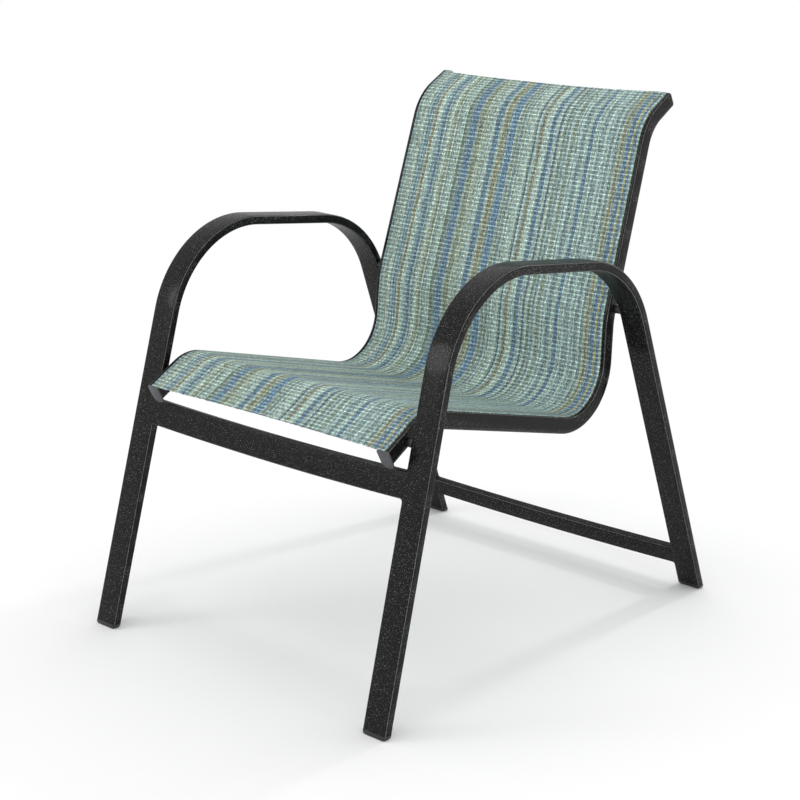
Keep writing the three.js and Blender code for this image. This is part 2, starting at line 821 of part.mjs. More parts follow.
// A bolt through a rail and a spacer into a rivet nut in the leg beside it
function legJoint(name, side, group, spot, gap, rail, frame) {
  const shaft = placed(group, 0, { ...spot, angle: 0 });
  const half = railWidth / 2;
  const along = (geometry) => geometry.rotateY((side * Math.PI) / 2);
  const seatX = -half - fitGap - washerThickness - fitGap;
  const legFace = half + gap;
  const length = legFace + rivetNutLength - seatX;
  piece(`${name}_bolt`, along(bolt(length).translate(0, 0, seatX)), stainless(), shaft);
  const inner = boltDiameter / 2 + fitGap;
  const washer = ring(washerDiameter / 2, inner, washerThickness);
  washer.translate(0, 0, seatX + fitGap);
  piece(`${name}_washer`, along(washer), stainless(), shaft);
  const spacer = ring(spacerDiameter / 2, inner, gap - rivetFlange - 3 * fitGap);
  spacer.translate(0, 0, half + fitGap);
  piece(`${name}_spacer`, along(spacer), blackPlastic(), shaft);
  const nut = turned([
    [inner, -rivetFlange],
    [rivetFlangeDiameter / 2, -rivetFlange],
    [rivetFlangeDiameter / 2, 0],
    [rivetNutDiameter / 2, 0],
    [rivetNutDiameter / 2, rivetNutLength],
    [inner, rivetNutLength],
    [inner, -rivetFlange],
  ]);
  nut.translate(0, 0, legFace - fitGap);
  piece(`${name}_rivet_nut`, along(nut), stainless(), shaft);
  const railTool = new THREE.Mesh(along(drill(boltDiameter, seatX, half + gap / 2)));
  const legTool = new THREE.Mesh(
    along(drill(rivetNutDiameter, half + gap / 2, legFace + tubeWidth / 2)),
  );
  shaft.add(railTool, legTool);
  cut(rail, railTool);
  cut(frame, legTool);
  shaft.remove(railTool, legTool);
}

frontCrossbar();
rearStretcher();
const rails = [
  { side: 1, label: "left" },
  { side: -1, label: "right" },
].map(({ side, label }) => {
  const frame = sideFrame(label, side);
  footCap(`${label}_front_foot_cap`, side, -footSpread / 2, Math.tan(frontTilt));
  footCap(`${label}_rear_foot_cap`, side, footSpread / 2, -Math.tan(rearTilt));
  const group = leaningGroup(side, railBase, railToe);
  const rail = slingRail(label, side, group);
  splineRod(label, side, group);
  railCap(`${label}_rail_front_cap`, group, -1, darkPlastic());
  railCap(`${label}_rail_top_cap`, group, 1, blackPlastic());
  legJoint(`${label}_front`, side, group, frontSpot, frontRailGap, rail, frame);
  legJoint(`${label}_back`, side, group, backSpot, railGap, rail, frame);
  return { side, label, group, rail };
});
slingFabric();
const seatStation = stationAt(railLine, "y", crossbarPlace.y + seatSpreaderBehind);
const backStation = stationAt(railLine, "z", overBar(backSpreaderRise));
spreaderBar("seat", seatStation, seatSpreaderSag, rails);
spreaderBar("back", backStation, backSpreaderSag, rails);

export default chair;
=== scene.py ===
# Sling patio chair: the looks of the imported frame, in metres, front towards -Y
import math
import random

import bmesh
import bpy
from mathutils import Matrix, Vector


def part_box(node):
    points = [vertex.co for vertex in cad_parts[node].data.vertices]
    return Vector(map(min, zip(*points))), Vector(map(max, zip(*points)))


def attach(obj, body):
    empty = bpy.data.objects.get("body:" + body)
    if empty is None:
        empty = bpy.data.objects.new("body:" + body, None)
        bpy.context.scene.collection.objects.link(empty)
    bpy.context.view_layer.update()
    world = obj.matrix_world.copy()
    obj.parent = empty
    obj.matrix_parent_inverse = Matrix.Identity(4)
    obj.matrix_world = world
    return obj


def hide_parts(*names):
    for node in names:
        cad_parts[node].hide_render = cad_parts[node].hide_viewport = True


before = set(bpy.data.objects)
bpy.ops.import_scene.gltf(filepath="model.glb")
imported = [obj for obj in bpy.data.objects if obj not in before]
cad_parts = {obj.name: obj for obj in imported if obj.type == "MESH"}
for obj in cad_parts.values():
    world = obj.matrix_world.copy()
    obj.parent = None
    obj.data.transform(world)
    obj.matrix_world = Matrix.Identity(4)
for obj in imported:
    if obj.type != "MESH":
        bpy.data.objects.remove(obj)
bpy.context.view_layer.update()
scene = bpy.context.scene
scene.view_settings.view_transform = "Standard"
mm = 0.001
print("chair frame loaded:", len(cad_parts), "pieces")

# The sizes that the frame pieces share; they repeat those of the solids
layout = {
    "floorWidth": 610 * mm,
    "footSpread": 820 * mm,
    "lean": math.radians(1.1),
    "fitGap": 0.3 * mm,
    "tubeWidth": 43 * mm,
    "tubeThickness": 14.5 * mm,
    "tubeCorner": 3.4 * mm,
    "armFrontHeight": 634 * mm,
    "armRearHeight": 596 * mm,
    "frontLegSetback": 151 * mm,
    "rearLegSetback": 262 * mm,
    "frontBendRadius": 165 * mm,
    "rearBendRadius": 177 * mm,
    "railGap": 12.4 * mm,       # to the rear legs
    "frontRailGap": 9.7 * mm,   # to the front legs
    "railWidth": 22 * mm,
    "railDepth": 27.1 * mm,
    "railBase": 239.6 * mm,     # plane of the rails' middles where they pass the chair's middle
    "railToe": math.radians(0.31),
    "pinDepth": 16.8 * mm,      # of bolts and pins behind a rail's face
}
tubePlane = layout["floorWidth"] / 2 - layout["tubeWidth"] / 2
leanCos, leanSin = math.cos(layout["lean"]), math.sin(layout["lean"])
frontTilt = math.atan2(layout["frontLegSetback"], layout["armFrontHeight"])
rearTilt = math.atan2(layout["rearLegSetback"], layout["armRearHeight"])
sides = (("left", 1), ("right", -1))


# A line of (y, z, angle) stations: straights joined by round bends; a corner is (y, z, radius)
def bentLine(corners, bendStep):
    spots = [Vector(corner[:2]) for corner in corners]
    line = []

    def straight(start, stop, angle):
        if not line:
            line.append((start.x, start.y, angle))
        line.append((stop.x, stop.y, angle))

    start = spots[0]
    for i in range(1, len(corners)):
        into = (spots[i] - spots[i - 1]).normalized()
        angle = math.atan2(into.y, into.x)
        radius = corners[i][2] if len(corners[i]) > 2 else 0
        if not radius:
            straight(start, spots[i], angle)
            break
        away = (spots[i + 1] - spots[i]).normalized()
        turn = math.atan2(into.x * away.y - into.y * away.x, into.dot(away))
        stop = spots[i] - into * radius * math.tan(abs(turn) / 2)
        straight(start, stop, angle)
        sign = math.copysign(1, turn)
        centre = stop + sign * radius * Vector((-into.y, into.x))
        steps = max(4, math.ceil(abs(turn) / bendStep))
        for k in range(1, steps + 1):
            bent = angle + turn * k / steps
            spot = centre + sign * radius * Vector((math.sin(bent), -math.cos(bent)))
            line.append((spot.x, spot.y, bent))
        start = Vector(line[-1][:2])
    return line


# The same line with its ends moved in along their own directions
def shortened(line, atStart, atEnd):
    y, z, angle = line[0]
    first = (y + atStart * math.cos(angle), z + atStart * math.sin(angle), angle)
    y, z, angle = line[-1]
    last = (y - atEnd * math.cos(angle), z - atEnd * math.sin(angle), angle)
    return [first] + line[1:-1] + [last]


def lengthsAlong(line):
    total, lengths = 0.0, [0.0]
    for a, b in zip(line, line[1:]):
        total += math.hypot(b[0] - a[0], b[1] - a[1])
        lengths.append(total)
    return lengths


# The station at a length along a line
def stationAt(line, lengths, wanted):
    if wanted <= 0:
        y, z, angle = line[0]
        return y + wanted * math.cos(angle), z + wanted * math.sin(angle), angle
    for i in range(1, len(line)):
        if lengths[i] >= wanted or i == len(line) - 1:
            share = (wanted - lengths[i - 1]) / (lengths[i] - lengths[i - 1])
            return tuple(a + (b - a) * share for a, b in zip(line[i - 1], line[i]))


# A point of one side: u outwards from its plane, v out of the face of the station
def sidePoint(side, plane, station, u, v):
    y, z, angle = station
    y, z = y - v * math.sin(angle), z + v * math.cos(angle)
    return Vector((side * (plane + u * leanCos - z * leanSin), y, z * leanCos + u * leanSin))


# The same for a rail, which also turns out a little towards the front
def railPoint(side, station, u, v):
    spot = sidePoint(1, 0, station, u, v)
    toeCos, toeSin = math.cos(layout["railToe"]), math.sin(layout["railToe"])
    x = layout["railBase"] + spot.x * toeCos - spot.y * toeSin
    return Vector((side * x, spot.y * toeCos + spot.x * toeSin, spot.z))


# How a rail's own axes are turned in the chair
def railTurn(side):
    toe = Matrix.Rotation(side * layout["railToe"], 4, "Z")
    return toe @ Matrix.Rotation(-side * layout["lean"], 4, "Y")


def stationMatrix(x, y, z, angle):
    return Matrix.Translation((x, y, z)) @ Matrix.Rotation(angle, 4, "X")


def roundedRect(width, height, radius, steps):
    points = []
    for corner, (signX, signY) in enumerate(((1, 1), (-1, 1), (-1, -1), (1, -1))):
        for i in range(steps + 1):
            angle = (corner + i / steps) * math.pi / 2
            points.append((
                signX * (width / 2 - radius) + radius * math.cos(angle),
                signY * (height / 2 - radius) + radius * math.sin(angle),
            ))
    return points


# The places of its points in the middle of each corner
def cornerMiddles(steps):
    return [corner * (steps + 1) + steps // 2 for corner in range(4)]


def circle(radius, sides):
    angles = [math.tau * i / sides for i in range(sides)]
    return [(radius * math.cos(a), radius * math.sin(a)) for a in angles]


# A mesh object from rings of points, with flat ends, or with its last ring joined to the first
# Points of a ring that are named as edges get the value 1 in the attribute "edge", along which the powder
# coat paints a highlight line
def ringMesh(name, rings, sharp=35, loop=False, edges=()):
    mesh = bpy.data.meshes.new(name)
    count = len(rings[0])
    faces = []
    spans = len(rings) if loop else len(rings) - 1
    for r in range(spans):
        s = (r + 1) % len(rings)
        for i in range(count):
            n = (i + 1) % count
            faces.append((r * count + i, r * count + n, s * count + n, s * count + i))
    if not loop:
        faces.append(tuple(range(count - 1, -1, -1)))
        faces.append(tuple((len(rings) - 1) * count + i for i in range(count)))
    mesh.from_pydata([tuple(p) for ring in rings for p in ring], [], faces)
    if edges:
        mark = mesh.attributes.new("edge", "FLOAT", "POINT")
        mark.data.foreach_set("value", [float(i % count in edges) for i in range(len(mesh.vertices))])
    return finishMesh(name, mesh, sharp)


def finishMesh(name, mesh, sharp):
    work = bmesh.new()
    work.from_mesh(mesh)
    bmesh.ops.remove_doubles(work, verts=work.verts, dist=1e-6)
    bmesh.ops.recalc_face_normals(work, faces=work.faces)
    concave = [f for f in work.faces if len(f.verts) > 4]
    bmesh.ops.triangulate(work, faces=concave)
    work.to_mesh(mesh)
    work.free()
    mesh.shade_smooth()
    mesh.set_sharp_from_angle(angle=math.radians(sharp))
    piece = bpy.data.objects.new(name, mesh)
    scene.collection.objects.link(piece)
    return piece


def moved(piece, matrix):
    piece.data.transform(matrix)
    return piece


# A turned piece: (radius, height) pairs spun about Z
def turned(name, outline, sides=32, sharp=35, least=1e-5):
    rings = []
    for radius, height in outline:
        rings.append([Vector((x, y, height)) for x, y in circle(max(radius, least), sides)])
    return ringMesh(name, rings, sharp)


def ringPiece(name, outer, inner, height, soft, sides=32):
    outline = [
        (inner, soft), (inner + soft, 0), (outer - soft, 0), (outer, soft),
        (outer, height - soft), (outer - soft, height), (inner + soft, height), (inner, height - soft),
    ]
    rings = [[Vector((x, y, h)) for x, y in circle(r, sides)] for r, h in outline]
    return ringMesh(name, rings, sharp=50, loop=True)


def dress(piece, material, slot, *nodes):
    piece.data.materials.clear()
    piece.data.materials.append(material)
    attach(piece, "root")
    if nodes:
        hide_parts(*nodes)
    return piece


# Links an input of a node to a socket, or sets it to a value
def feed(tree, node, inputs):
    for key, value in inputs.items():
        if isinstance(value, bpy.types.NodeSocket):
            tree.links.new(value, node.inputs[key])
        else:
            node.inputs[key].default_value = value


def addNode(tree, kind, inputs=None, **settings):
    made = tree.nodes.new(kind)
    for key, value in settings.items():
        setattr(made, key, value)
    feed(tree, made, inputs or {})
    return made


def calc(tree, operation, first, second=0.0):
    return addNode(tree, "ShaderNodeMath", {0: first, 1: second}, operation=operation).outputs[0]


def between(tree, value, low, high, outLow=0.0, outHigh=1.0, smooth=True):
    made = addNode(tree, "ShaderNodeMapRange", {0: value, 1: low, 2: high, 3: outLow, 4: outHigh})
    made.interpolation_type = "SMOOTHSTEP" if smooth else "LINEAR"
    return made.outputs[0]


def mixed(tree, share, first, second, mode="MIX"):
    made = addNode(tree, "ShaderNodeMix", {0: share, 6: first, 7: second}, data_type="RGBA", blend_type=mode)
    return made.outputs[2]


def startMaterial(name):
    material = bpy.data.materials.new(name)
    material.use_nodes = True
    tree = material.node_tree
    return material, tree, tree.nodes["Principled BSDF"]


def noiseAt(tree, where, scale, detail=2.0, roughness=0.5):
    inputs = {"Vector": where, "Scale": scale, "Detail": detail, "Roughness": roughness}
    return addNode(tree, "ShaderNodeTexNoise", inputs).outputs["Fac"]


def bumped(tree, shader, height, strength, distance):
    made = addNode(tree, "ShaderNodeBump", {"Height": height, "Strength": strength, "Distance": distance})
    feed(tree, shader, {"Normal": made.outputs[0]})


noiseBand = (0.3, 0.7)   # where most values of a noise lie

# Textured powder coat: black grain with fine silver flecks of two sizes, and a painted highlight line along
# the tubes' corners
powderCoat = {
    "black": (0.003, 0.0031, 0.0029, 1),
    "grain": (0.010, 0.0103, 0.0097, 1),
    "grainScale": 900,
    "grainRoughness": 0.7,
    "grainBand": (0.42, 0.68),
    "fleck": (0.62, 0.63, 0.60, 1),
    # how fine, the share of the cells that have none, and how far a fleck reaches in its cell
    "flecks": ((880, 0.70, 0.30), (1500, 0.94, 0.36)),
    "paintedEdgeHighlight": (0.25, 0.255, 0.245, 1),   # painted highlight along the corners of the tubes
    # how narrow the painted highlight is across a corner
    "paintedHighlightBand": (0.35, 1.0),
    "paintedHighlightBreaks": (0.38, 0.58, 0.2, 1.0),   # the grain breaks the painted highlight up
    "gloss": 0.03,
    "roughness": 0.45,
    "wear": (-0.05, 0.06),  # how far the roughness wanders
    "wearScale": 9,
    "coat": 0.28,
    "coatRoughness": 0.17,
    "peelScale": 330,       # of the orange peel
    "peelHeight": 1.4,
    "fleckHeight": 0.5,
    "texture": 0.55,        # strength of the relief
    "textureDepth": 0.5 * mm,
}


def makePowderCoat():
    c = powderCoat
    material, tree, shader = startMaterial("powderCoat")
    where = addNode(tree, "ShaderNodeTexCoord").outputs["Object"]
    grain = noiseAt(tree, where, c["grainScale"], 3.0, c["grainRoughness"])
    base = mixed(tree, between(tree, grain, *c["grainBand"]), c["black"], c["grain"])
    masks = []
    for scale, rare, reach in c["flecks"]:
        cells = addNode(tree, "ShaderNodeTexVoronoi", {"Vector": where, "Scale": scale})
        pick = addNode(tree, "ShaderNodeSeparateColor", {0: cells.outputs["Color"]})
        chosen = between(tree, pick.outputs[0], rare, 1.0, smooth=False)
        dot = between(tree, cells.outputs["Distance"], reach, reach / 2)
        masks.append(calc(tree, "MULTIPLY", chosen, dot))
    flecks = calc(tree, "MAXIMUM", *masks)
    base = mixed(tree, flecks, base, c["fleck"])
    # Painted highlight: the corners marked in the attribute edge get a paler colour, broken up by the grain,
    # in place of the lamps' shine on the rounded edges
    corner = addNode(tree, "ShaderNodeAttribute", attribute_name="edge").outputs["Fac"]
    corner = between(tree, corner, *c["paintedHighlightBand"])
    edge = calc(tree, "MULTIPLY", corner, between(tree, grain, *c["paintedHighlightBreaks"]))
    wear = noiseAt(tree, where, c["wearScale"], 4.0)
    feed(tree, shader, {
        "Base Color": mixed(tree, edge, base, c["paintedEdgeHighlight"]),
        "Roughness": between(tree, wear, *noiseBand, *(c["roughness"] + change for change in c["wear"])),
        "Specular IOR Level": c["gloss"],
        "Coat Weight": c["coat"],
        "Coat Roughness": c["coatRoughness"],
    })
    peel = calc(tree, "MULTIPLY", noiseAt(tree, where, c["peelScale"]), c["peelHeight"])
    bits = calc(tree, "ADD", grain, calc(tree, "MULTIPLY", flecks, c["fleckHeight"]))
    bumped(tree, shader, calc(tree, "ADD", peel, bits), c["texture"], c["textureDepth"])
    return material


# Moulded plastic with a fine spark-eroded grain
plastics = {
    "blackPlastic": {"color": (0.012, 0.0125, 0.013, 1), "roughness": 0.5},
    "greyPlastic": {"color": (0.055, 0.058, 0.064, 1), "roughness": 0.55},
    "splinePlastic": {"color": (0.60, 0.62, 0.58, 1), "roughness": 0.45},
    "cloudScale": 60,
    "cloudBand": (0.35, 0.7),
    "cloudLift": (1.35, 0.004),   # the clouds are paler by this factor and this much more
    "grainScale": 1500,
    "roughnessSpread": 0.06,
    "texture": 0.15,
    "textureDepth": 0.2 * mm,
}


def makePlastic(name):
    p, color, roughness = plastics, plastics[name]["color"], plastics[name]["roughness"]
    material, tree, shader = startMaterial(name)
    where = addNode(tree, "ShaderNodeTexCoord").outputs["Object"]
    cloud = between(tree, noiseAt(tree, where, p["cloudScale"], 3.0), *p["cloudBand"])
    factor, more = p["cloudLift"]
    light = tuple(min(1, c * factor + more) for c in color[:3]) + (1,)
    grain = noiseAt(tree, where, p["grainScale"])
    low, high = roughness - p["roughnessSpread"], roughness + p["roughnessSpread"]
    feed(tree, shader, {
        "Base Color": mixed(tree, cloud, color, light),
        "Roughness": between(tree, grain, *noiseBand, low, high),
    })
    bumped(tree, shader, grain, p["texture"], p["textureDepth"])
    return material


# Plain steel, brushed round the axis of the fastener
steel = {
    "dark": (0.36, 0.37, 0.38, 1),
    "light": (0.58, 0.58, 0.57, 1),
    "lineScale": (900, 900, 9000),
    "roughness": (0.24, 0.4),
    "texture": 0.1,
    "textureDepth": 0.1 * mm,
}


def makeSteel():
    material, tree, shader = startMaterial("fastenerSteel")
    where = addNode(tree, "ShaderNodeTexCoord").outputs["Object"]
    squash = addNode(tree, "ShaderNodeMapping", {"Vector": where, "Scale": steel["lineScale"]})
    lines = noiseAt(tree, squash.outputs[0], 1.0)
    feed(tree, shader, {
        "Base Color": mixed(tree, lines, steel["dark"], steel["light"]),
        "Roughness": between(tree, lines, *noiseBand, *steel["roughness"]),
        "Metallic": 1.0,
    })
    bumped(tree, shader, lines, steel["texture"], steel["textureDepth"])
    return material


# The woven sling: lengthwise yarn stripes under crossing picks
slingCloth = {
    "yarns": {
        "pale": (0.375, 0.500, 0.455),
        "frost": (0.330, 0.430, 0.390),
        "mint": (0.285, 0.385, 0.340),
        "sage": (0.270, 0.325, 0.245),
        "khaki": (0.212, 0.248, 0.165),
        "brown": (0.215, 0.208, 0.130),
        "moss": (0.165, 0.220, 0.170),
        "teal": (0.225, 0.325, 0.325),
        "slate": (0.170, 0.245, 0.250),
        "blue": (0.112, 0.195, 0.278),
        "navy": (0.082, 0.143, 0.205),
        "gold": (0.380, 0.340, 0.140),
    },
    # shares of the ground's yarns, and how many ends of one yarn lie side by side
    "ground": {"mint": 5, "pale": 4, "frost": 4, "teal": 4, "sage": 3, "slate": 3},
    "groundEnds": (1, 1, 2, 2, 3),
    "groundSeed": 5,
    # stripes over the ground: yarn, place from the right side to the left, width in ends
    "stripes": (
        ("slate", 0.01, 3), ("blue", 0.07, 3), ("brown", 0.095, 4), ("blue", 0.14, 4),
        ("khaki", 0.19, 4), ("moss", 0.245, 5), ("blue", 0.28, 8), ("khaki", 0.315, 5),
        ("blue", 0.39, 6), ("brown", 0.42, 5), ("blue", 0.46, 9), ("khaki", 0.485, 3),
        ("navy", 0.565, 2), ("brown", 0.59, 4), ("blue", 0.635, 5), ("navy", 0.665, 3),
        ("moss", 0.69, 3), ("khaki", 0.73, 3), ("slate", 0.775, 6), ("blue", 0.81, 5),
        ("slate", 0.895, 5), ("brown", 0.94, 3), ("blue", 0.965, 5), ("gold", 0.98, 2),
        ("blue", 0.99, 3),
    ),
    "ends": 356,
    "endDrift": 0.006,      # how far an end wanders, as a share of the width
    "driftScale": (30, 25), # how fine that is across and along the cloth
    "ownShade": 0.14,       # how much the ends differ in shade
    "slub": 0.16,           # how much a yarn's shade wanders along its length
    "slubScale": (0.37, 22),
    "slubBand": (0.25, 0.75),
    "grain": 0.55,          # how much it differs from float to float
    "floats": 3,            # from one pick to the next
    "pickSpacing": 7.1 * mm,
    "pickSway": 0.7 * mm,
    "swayScale": (14, 40),
    "pickBand": (0.24, 0.04),
    "betweenPicks": 0.87,   # brightness between the picks and on them
    "onPicks": 1.42,
    "pickColor": (0.42, 0.52, 0.48, 1),
    "pickShow": 0.20,       # how much of its own colour a pick shows
    "pickVary": 0.7,        # how much that differs from crossing to crossing
    "knots": 0.30,          # share of the crossings that show a light knot
    "knotBand": (0.2, 0.05),
    "knotShine": 0.22,
    "gloss": 0.22,
    "roughness": 0.78,
    "pickSmooth": 0.1,      # how much less rough a pick is
    "ridgeHeight": 0.5,
    "grainHeight": 0.4,
    "texture": 0.5,
    "textureDepth": 0.5 * mm,
}


# The yarn of every end, from the right side to the left
def warpYarns():
    c = slingCloth
    rng = random.Random(c["groundSeed"])
    yarns = []
    while len(yarns) < c["ends"]:
        yarn = rng.choices(list(c["ground"]), list(c["ground"].values()))[0]
        yarns += [yarn] * rng.choice(c["groundEnds"])
    yarns = yarns[:c["ends"]]
    for yarn, place, width in c["stripes"]:
        first = round(place * c["ends"] - width / 2)
        yarns[first:first + width] = [yarn] * width
    return yarns[:c["ends"]]


# The stripe colours as a chain of colour ramps over a place from 0 to 1; a ramp takes 32 stops at most
def warpRamp(tree, place, stops=25):
    yarns = warpYarns()
    edges = [(i / len(yarns), yarn) for i, yarn in enumerate(yarns) if i == 0 or yarn != yarns[i - 1]]
    warp = None
    for first in range(0, len(edges), stops):
        group = edges[first:first + stops]
        start, end = group[0][0], edges[first + stops][0] if first + stops < len(edges) else 1.0
        ramp = addNode(tree, "ShaderNodeValToRGB", {0: between(tree, place, start, end, smooth=False)})
        ramp.color_ramp.interpolation = "CONSTANT"
        for i, (edge, yarn) in enumerate(group):
            spot = (edge - start) / (end - start)
            stop = ramp.color_ramp.elements[0] if i == 0 else ramp.color_ramp.elements.new(spot)
            stop.position = spot
            stop.color = slingCloth["yarns"][yarn] + (1,)
        ramp.color_ramp.elements.remove(ramp.color_ramp.elements[-1])
        if warp is None:
            warp = ramp.outputs[0]
        else:
            warp = mixed(tree, calc(tree, "GREATER_THAN", place, start), warp, ramp.outputs[0])
    return warp


def makeSlingCloth():
    c = slingCloth
    material, tree, shader = startMaterial("slingWeave")
    weave = addNode(tree, "ShaderNodeUVMap", uv_map="weave").outputs[0]
    split = addNode(tree, "ShaderNodeSeparateXYZ", {0: weave})
    across, along = split.outputs[0], split.outputs[1]

    def times(first, second):
        return calc(tree, "MULTIPLY", first, second)

    # One random value for each cell of two numbers
    def cells(first, second):
        where = addNode(tree, "ShaderNodeCombineXYZ", {0: first, 1: second}).outputs[0]
        noise = addNode(tree, "ShaderNodeTexWhiteNoise", {"Vector": where}, noise_dimensions="3D")
        return noise.outputs[0]

    def clouds(first, scale):
        parts = {0: times(first, scale[0]), 1: times(along, scale[1])}
        return noiseAt(tree, addNode(tree, "ShaderNodeCombineXYZ", parts).outputs[0], 1.0)

    # A place moved by noise, either way
    def wandered(place, noise, reach):
        return calc(tree, "ADD", place, times(calc(tree, "SUBTRACT", noise, 0.5), reach))

    def shade(noise, spread, low=0, high=1):
        return between(tree, noise, low, high, 1 - spread, 1 + spread, smooth=False)

    # Ends drift a little; each has one colour and its own shade
    endPlace = times(wandered(across, clouds(across, c["driftScale"]), c["endDrift"]), c["ends"])
    endNumber = calc(tree, "FLOOR", endPlace)
    warp = warpRamp(tree, calc(tree, "DIVIDE", calc(tree, "ADD", endNumber, 0.5), c["ends"]))

    # Picks cross the ends and sway; from pick to pick each end shows as a few floats
    swayed = wandered(along, clouds(across, c["swayScale"]), 2 * c["pickSway"])
    pickPlace = calc(tree, "DIVIDE", swayed, c["pickSpacing"])
    pickNumber = calc(tree, "FLOOR", pickPlace)
    nearPick = calc(tree, "ABSOLUTE", calc(tree, "SUBTRACT", calc(tree, "FRACT", pickPlace), 0.5))
    pick = between(tree, nearPick, *c["pickBand"])
    floatNumber = calc(tree, "FLOOR", times(pickPlace, c["floats"]))
    grain = shade(cells(endNumber, floatNumber), c["grain"])
    crossing = cells(endNumber, calc(tree, "ADD", pickNumber, 0.25))
    knot = calc(tree, "GREATER_THAN", crossing, 1 - c["knots"])
    knot = times(knot, between(tree, nearPick, *c["knotBand"]))

    level = between(tree, pick, 0, 1, c["betweenPicks"], c["onPicks"], smooth=False)
    slub = shade(clouds(endNumber, c["slubScale"]), c["slub"], *c["slubBand"])
    ownShade = shade(cells(endNumber, 0.5), c["ownShade"])
    level = times(level, times(ownShade, times(slub, grain)))
    level = times(level, calc(tree, "ADD", 1.0, times(knot, c["knotShine"])))
    levelColor = addNode(tree, "ShaderNodeCombineColor", {0: level, 1: level, 2: level}).outputs[0]
    showing = times(pick, times(shade(crossing, c["pickVary"]), c["pickShow"]))
    color = mixed(tree, 1.0, mixed(tree, showing, warp, c["pickColor"]), levelColor, "MULTIPLY")

    ridge = calc(tree, "ABSOLUTE", calc(tree, "SINE", times(endPlace, math.pi)))
    height = calc(tree, "ADD", times(ridge, c["ridgeHeight"]), pick)
    height = calc(tree, "ADD", height, times(grain, c["grainHeight"]))
    bumped(tree, shader, height, c["texture"], c["textureDepth"])
    rough = between(tree, pick, 0, 1, c["roughness"], c["roughness"] - c["pickSmooth"])
    feed(tree, shader, {"Base Color": color, "Roughness": rough, "Specular IOR Level": c["gloss"]})
    return material


finishes = {
    "frame": makePowderCoat(),
    "blackPlastic": makePlastic("blackPlastic"),
    "greyPlastic": makePlastic("greyPlastic"),
    "splinePlastic": makePlastic("splinePlastic"),
    "steel": makeSteel(),
    "cloth": makeSlingCloth(),
}
print("finishes made:", ", ".join(finishes))

# One flat tube for each side: front leg, arm and rear leg
sideFrame = {"cornerSteps": 6, "bendStep": math.radians(2), "cutHeight": 7.2 * mm}

half = layout["footSpread"] / 2
frameLine = bentLine([
    (-half, 0),
    (-half + layout["frontLegSetback"], layout["armFrontHeight"], layout["frontBendRadius"]),
    (half - layout["rearLegSetback"], layout["armRearHeight"], layout["rearBendRadius"]),
    (half, 0),
], sideFrame["bendStep"])


# Slides each point of a ring along the leg until it stands at a height
def cutLevel(ring, direction, height):
    return [point + direction * ((height - point.z) / direction.z) for point in ring]


def buildSideFrame(label, side):
    steps = sideFrame["cornerSteps"]
    section = roundedRect(layout["tubeWidth"], layout["tubeThickness"], layout["tubeCorner"], steps)
    rings = [[sidePoint(side, tubePlane, station, u, v) for u, v in section] for station in frameLine]
    for end, inner in ((0, 1), (-1, -2)):
        direction = (rings[inner][0] - rings[end][0]).normalized()
        rings[end] = cutLevel(rings[end], direction, sideFrame["cutHeight"])
    # The middles of the tube's corners carry the painted highlight line
    piece = ringMesh(f"{label}SideTube", rings, sharp=30, edges=cornerMiddles(steps))
    return dress(piece, finishes["frame"], "coated_frame", f"{label}_side_frame")


footCap = {
    "height": 7 * mm,
    "round": 5 * mm,
    "roundSteps": 5,
    "depthShare": 0.9,      # of the rounding across the depth
    "cornerSteps": 4,
    "cornerShare": 1 / 2.2, # of the depth, at most
    "standOut": 0.1 * mm,
}


# A pad whose bottom edge is rounded more across its width than across its depth
def buildFootCap(label, end, side):
    y, slope = (-half, math.tan(frontTilt)) if end == "front" else (half, -math.tan(rearTilt))
    width = layout["tubeWidth"] + 2 * footCap["standOut"]
    depth = layout["tubeThickness"] * math.hypot(1, slope) + 2 * footCap["standOut"]
    sizes = []
    for k in range(footCap["roundSteps"] + 1):
        angle = k / footCap["roundSteps"] * math.pi / 2
        inset = footCap["round"] * (1 - math.sin(angle))
        height = footCap["round"] * (1 - math.cos(angle))
        sizes.append((width - 2 * inset, depth - footCap["depthShare"] * inset, height))
    sizes.append((width, depth, footCap["height"]))
    rings = []
    for wide, deep, height in sizes:
        corner = min(layout["tubeCorner"], deep * footCap["cornerShare"])
        x = side * (tubePlane - math.tan(layout["lean"]) * height)
        rings.append([
            Vector((x + u, y + v + slope * height, height))
            for u, v in roundedRect(wide, deep, corner, footCap["cornerSteps"])
        ])
    piece = ringMesh(f"{label}{end.capitalize()}Foot", rings, sharp=40)
    return dress(piece, finishes["blackPlastic"], "black_plastic", f"{label}_{end}_foot_cap")


def frameInnerFace(z):
    return tubePlane - layout["tubeWidth"] / 2 * leanCos - z * math.tan(layout["lean"])


# The front crossbar and the rear stretcher follow the slope of their legs
crossbarHeight, stretcherHeight = 341.5 * mm, 60 * mm
bars = {
    "frontCrossbar": {
        "node": "front_crossbar",
        "y": -half + crossbarHeight * math.tan(frontTilt),
        "z": crossbarHeight,
        "tilt": -frontTilt,
        "height": 41 * mm,
        "thickness": 14.2 * mm,
        "sag": 4 * mm,
    },
    "rearStretcher": {
        "node": "rear_stretcher",
        "y": half - stretcherHeight * math.tan(rearTilt),
        "z": stretcherHeight,
        "tilt": rearTilt,
        "height": 34 * mm,
        "thickness": 13.5 * mm,
        "sag": 4 * mm,
    },
}
barEnds = {"inTube": 3.6 * mm, "corner": 3.2 * mm, "cornerSteps": 6, "steps": 40}


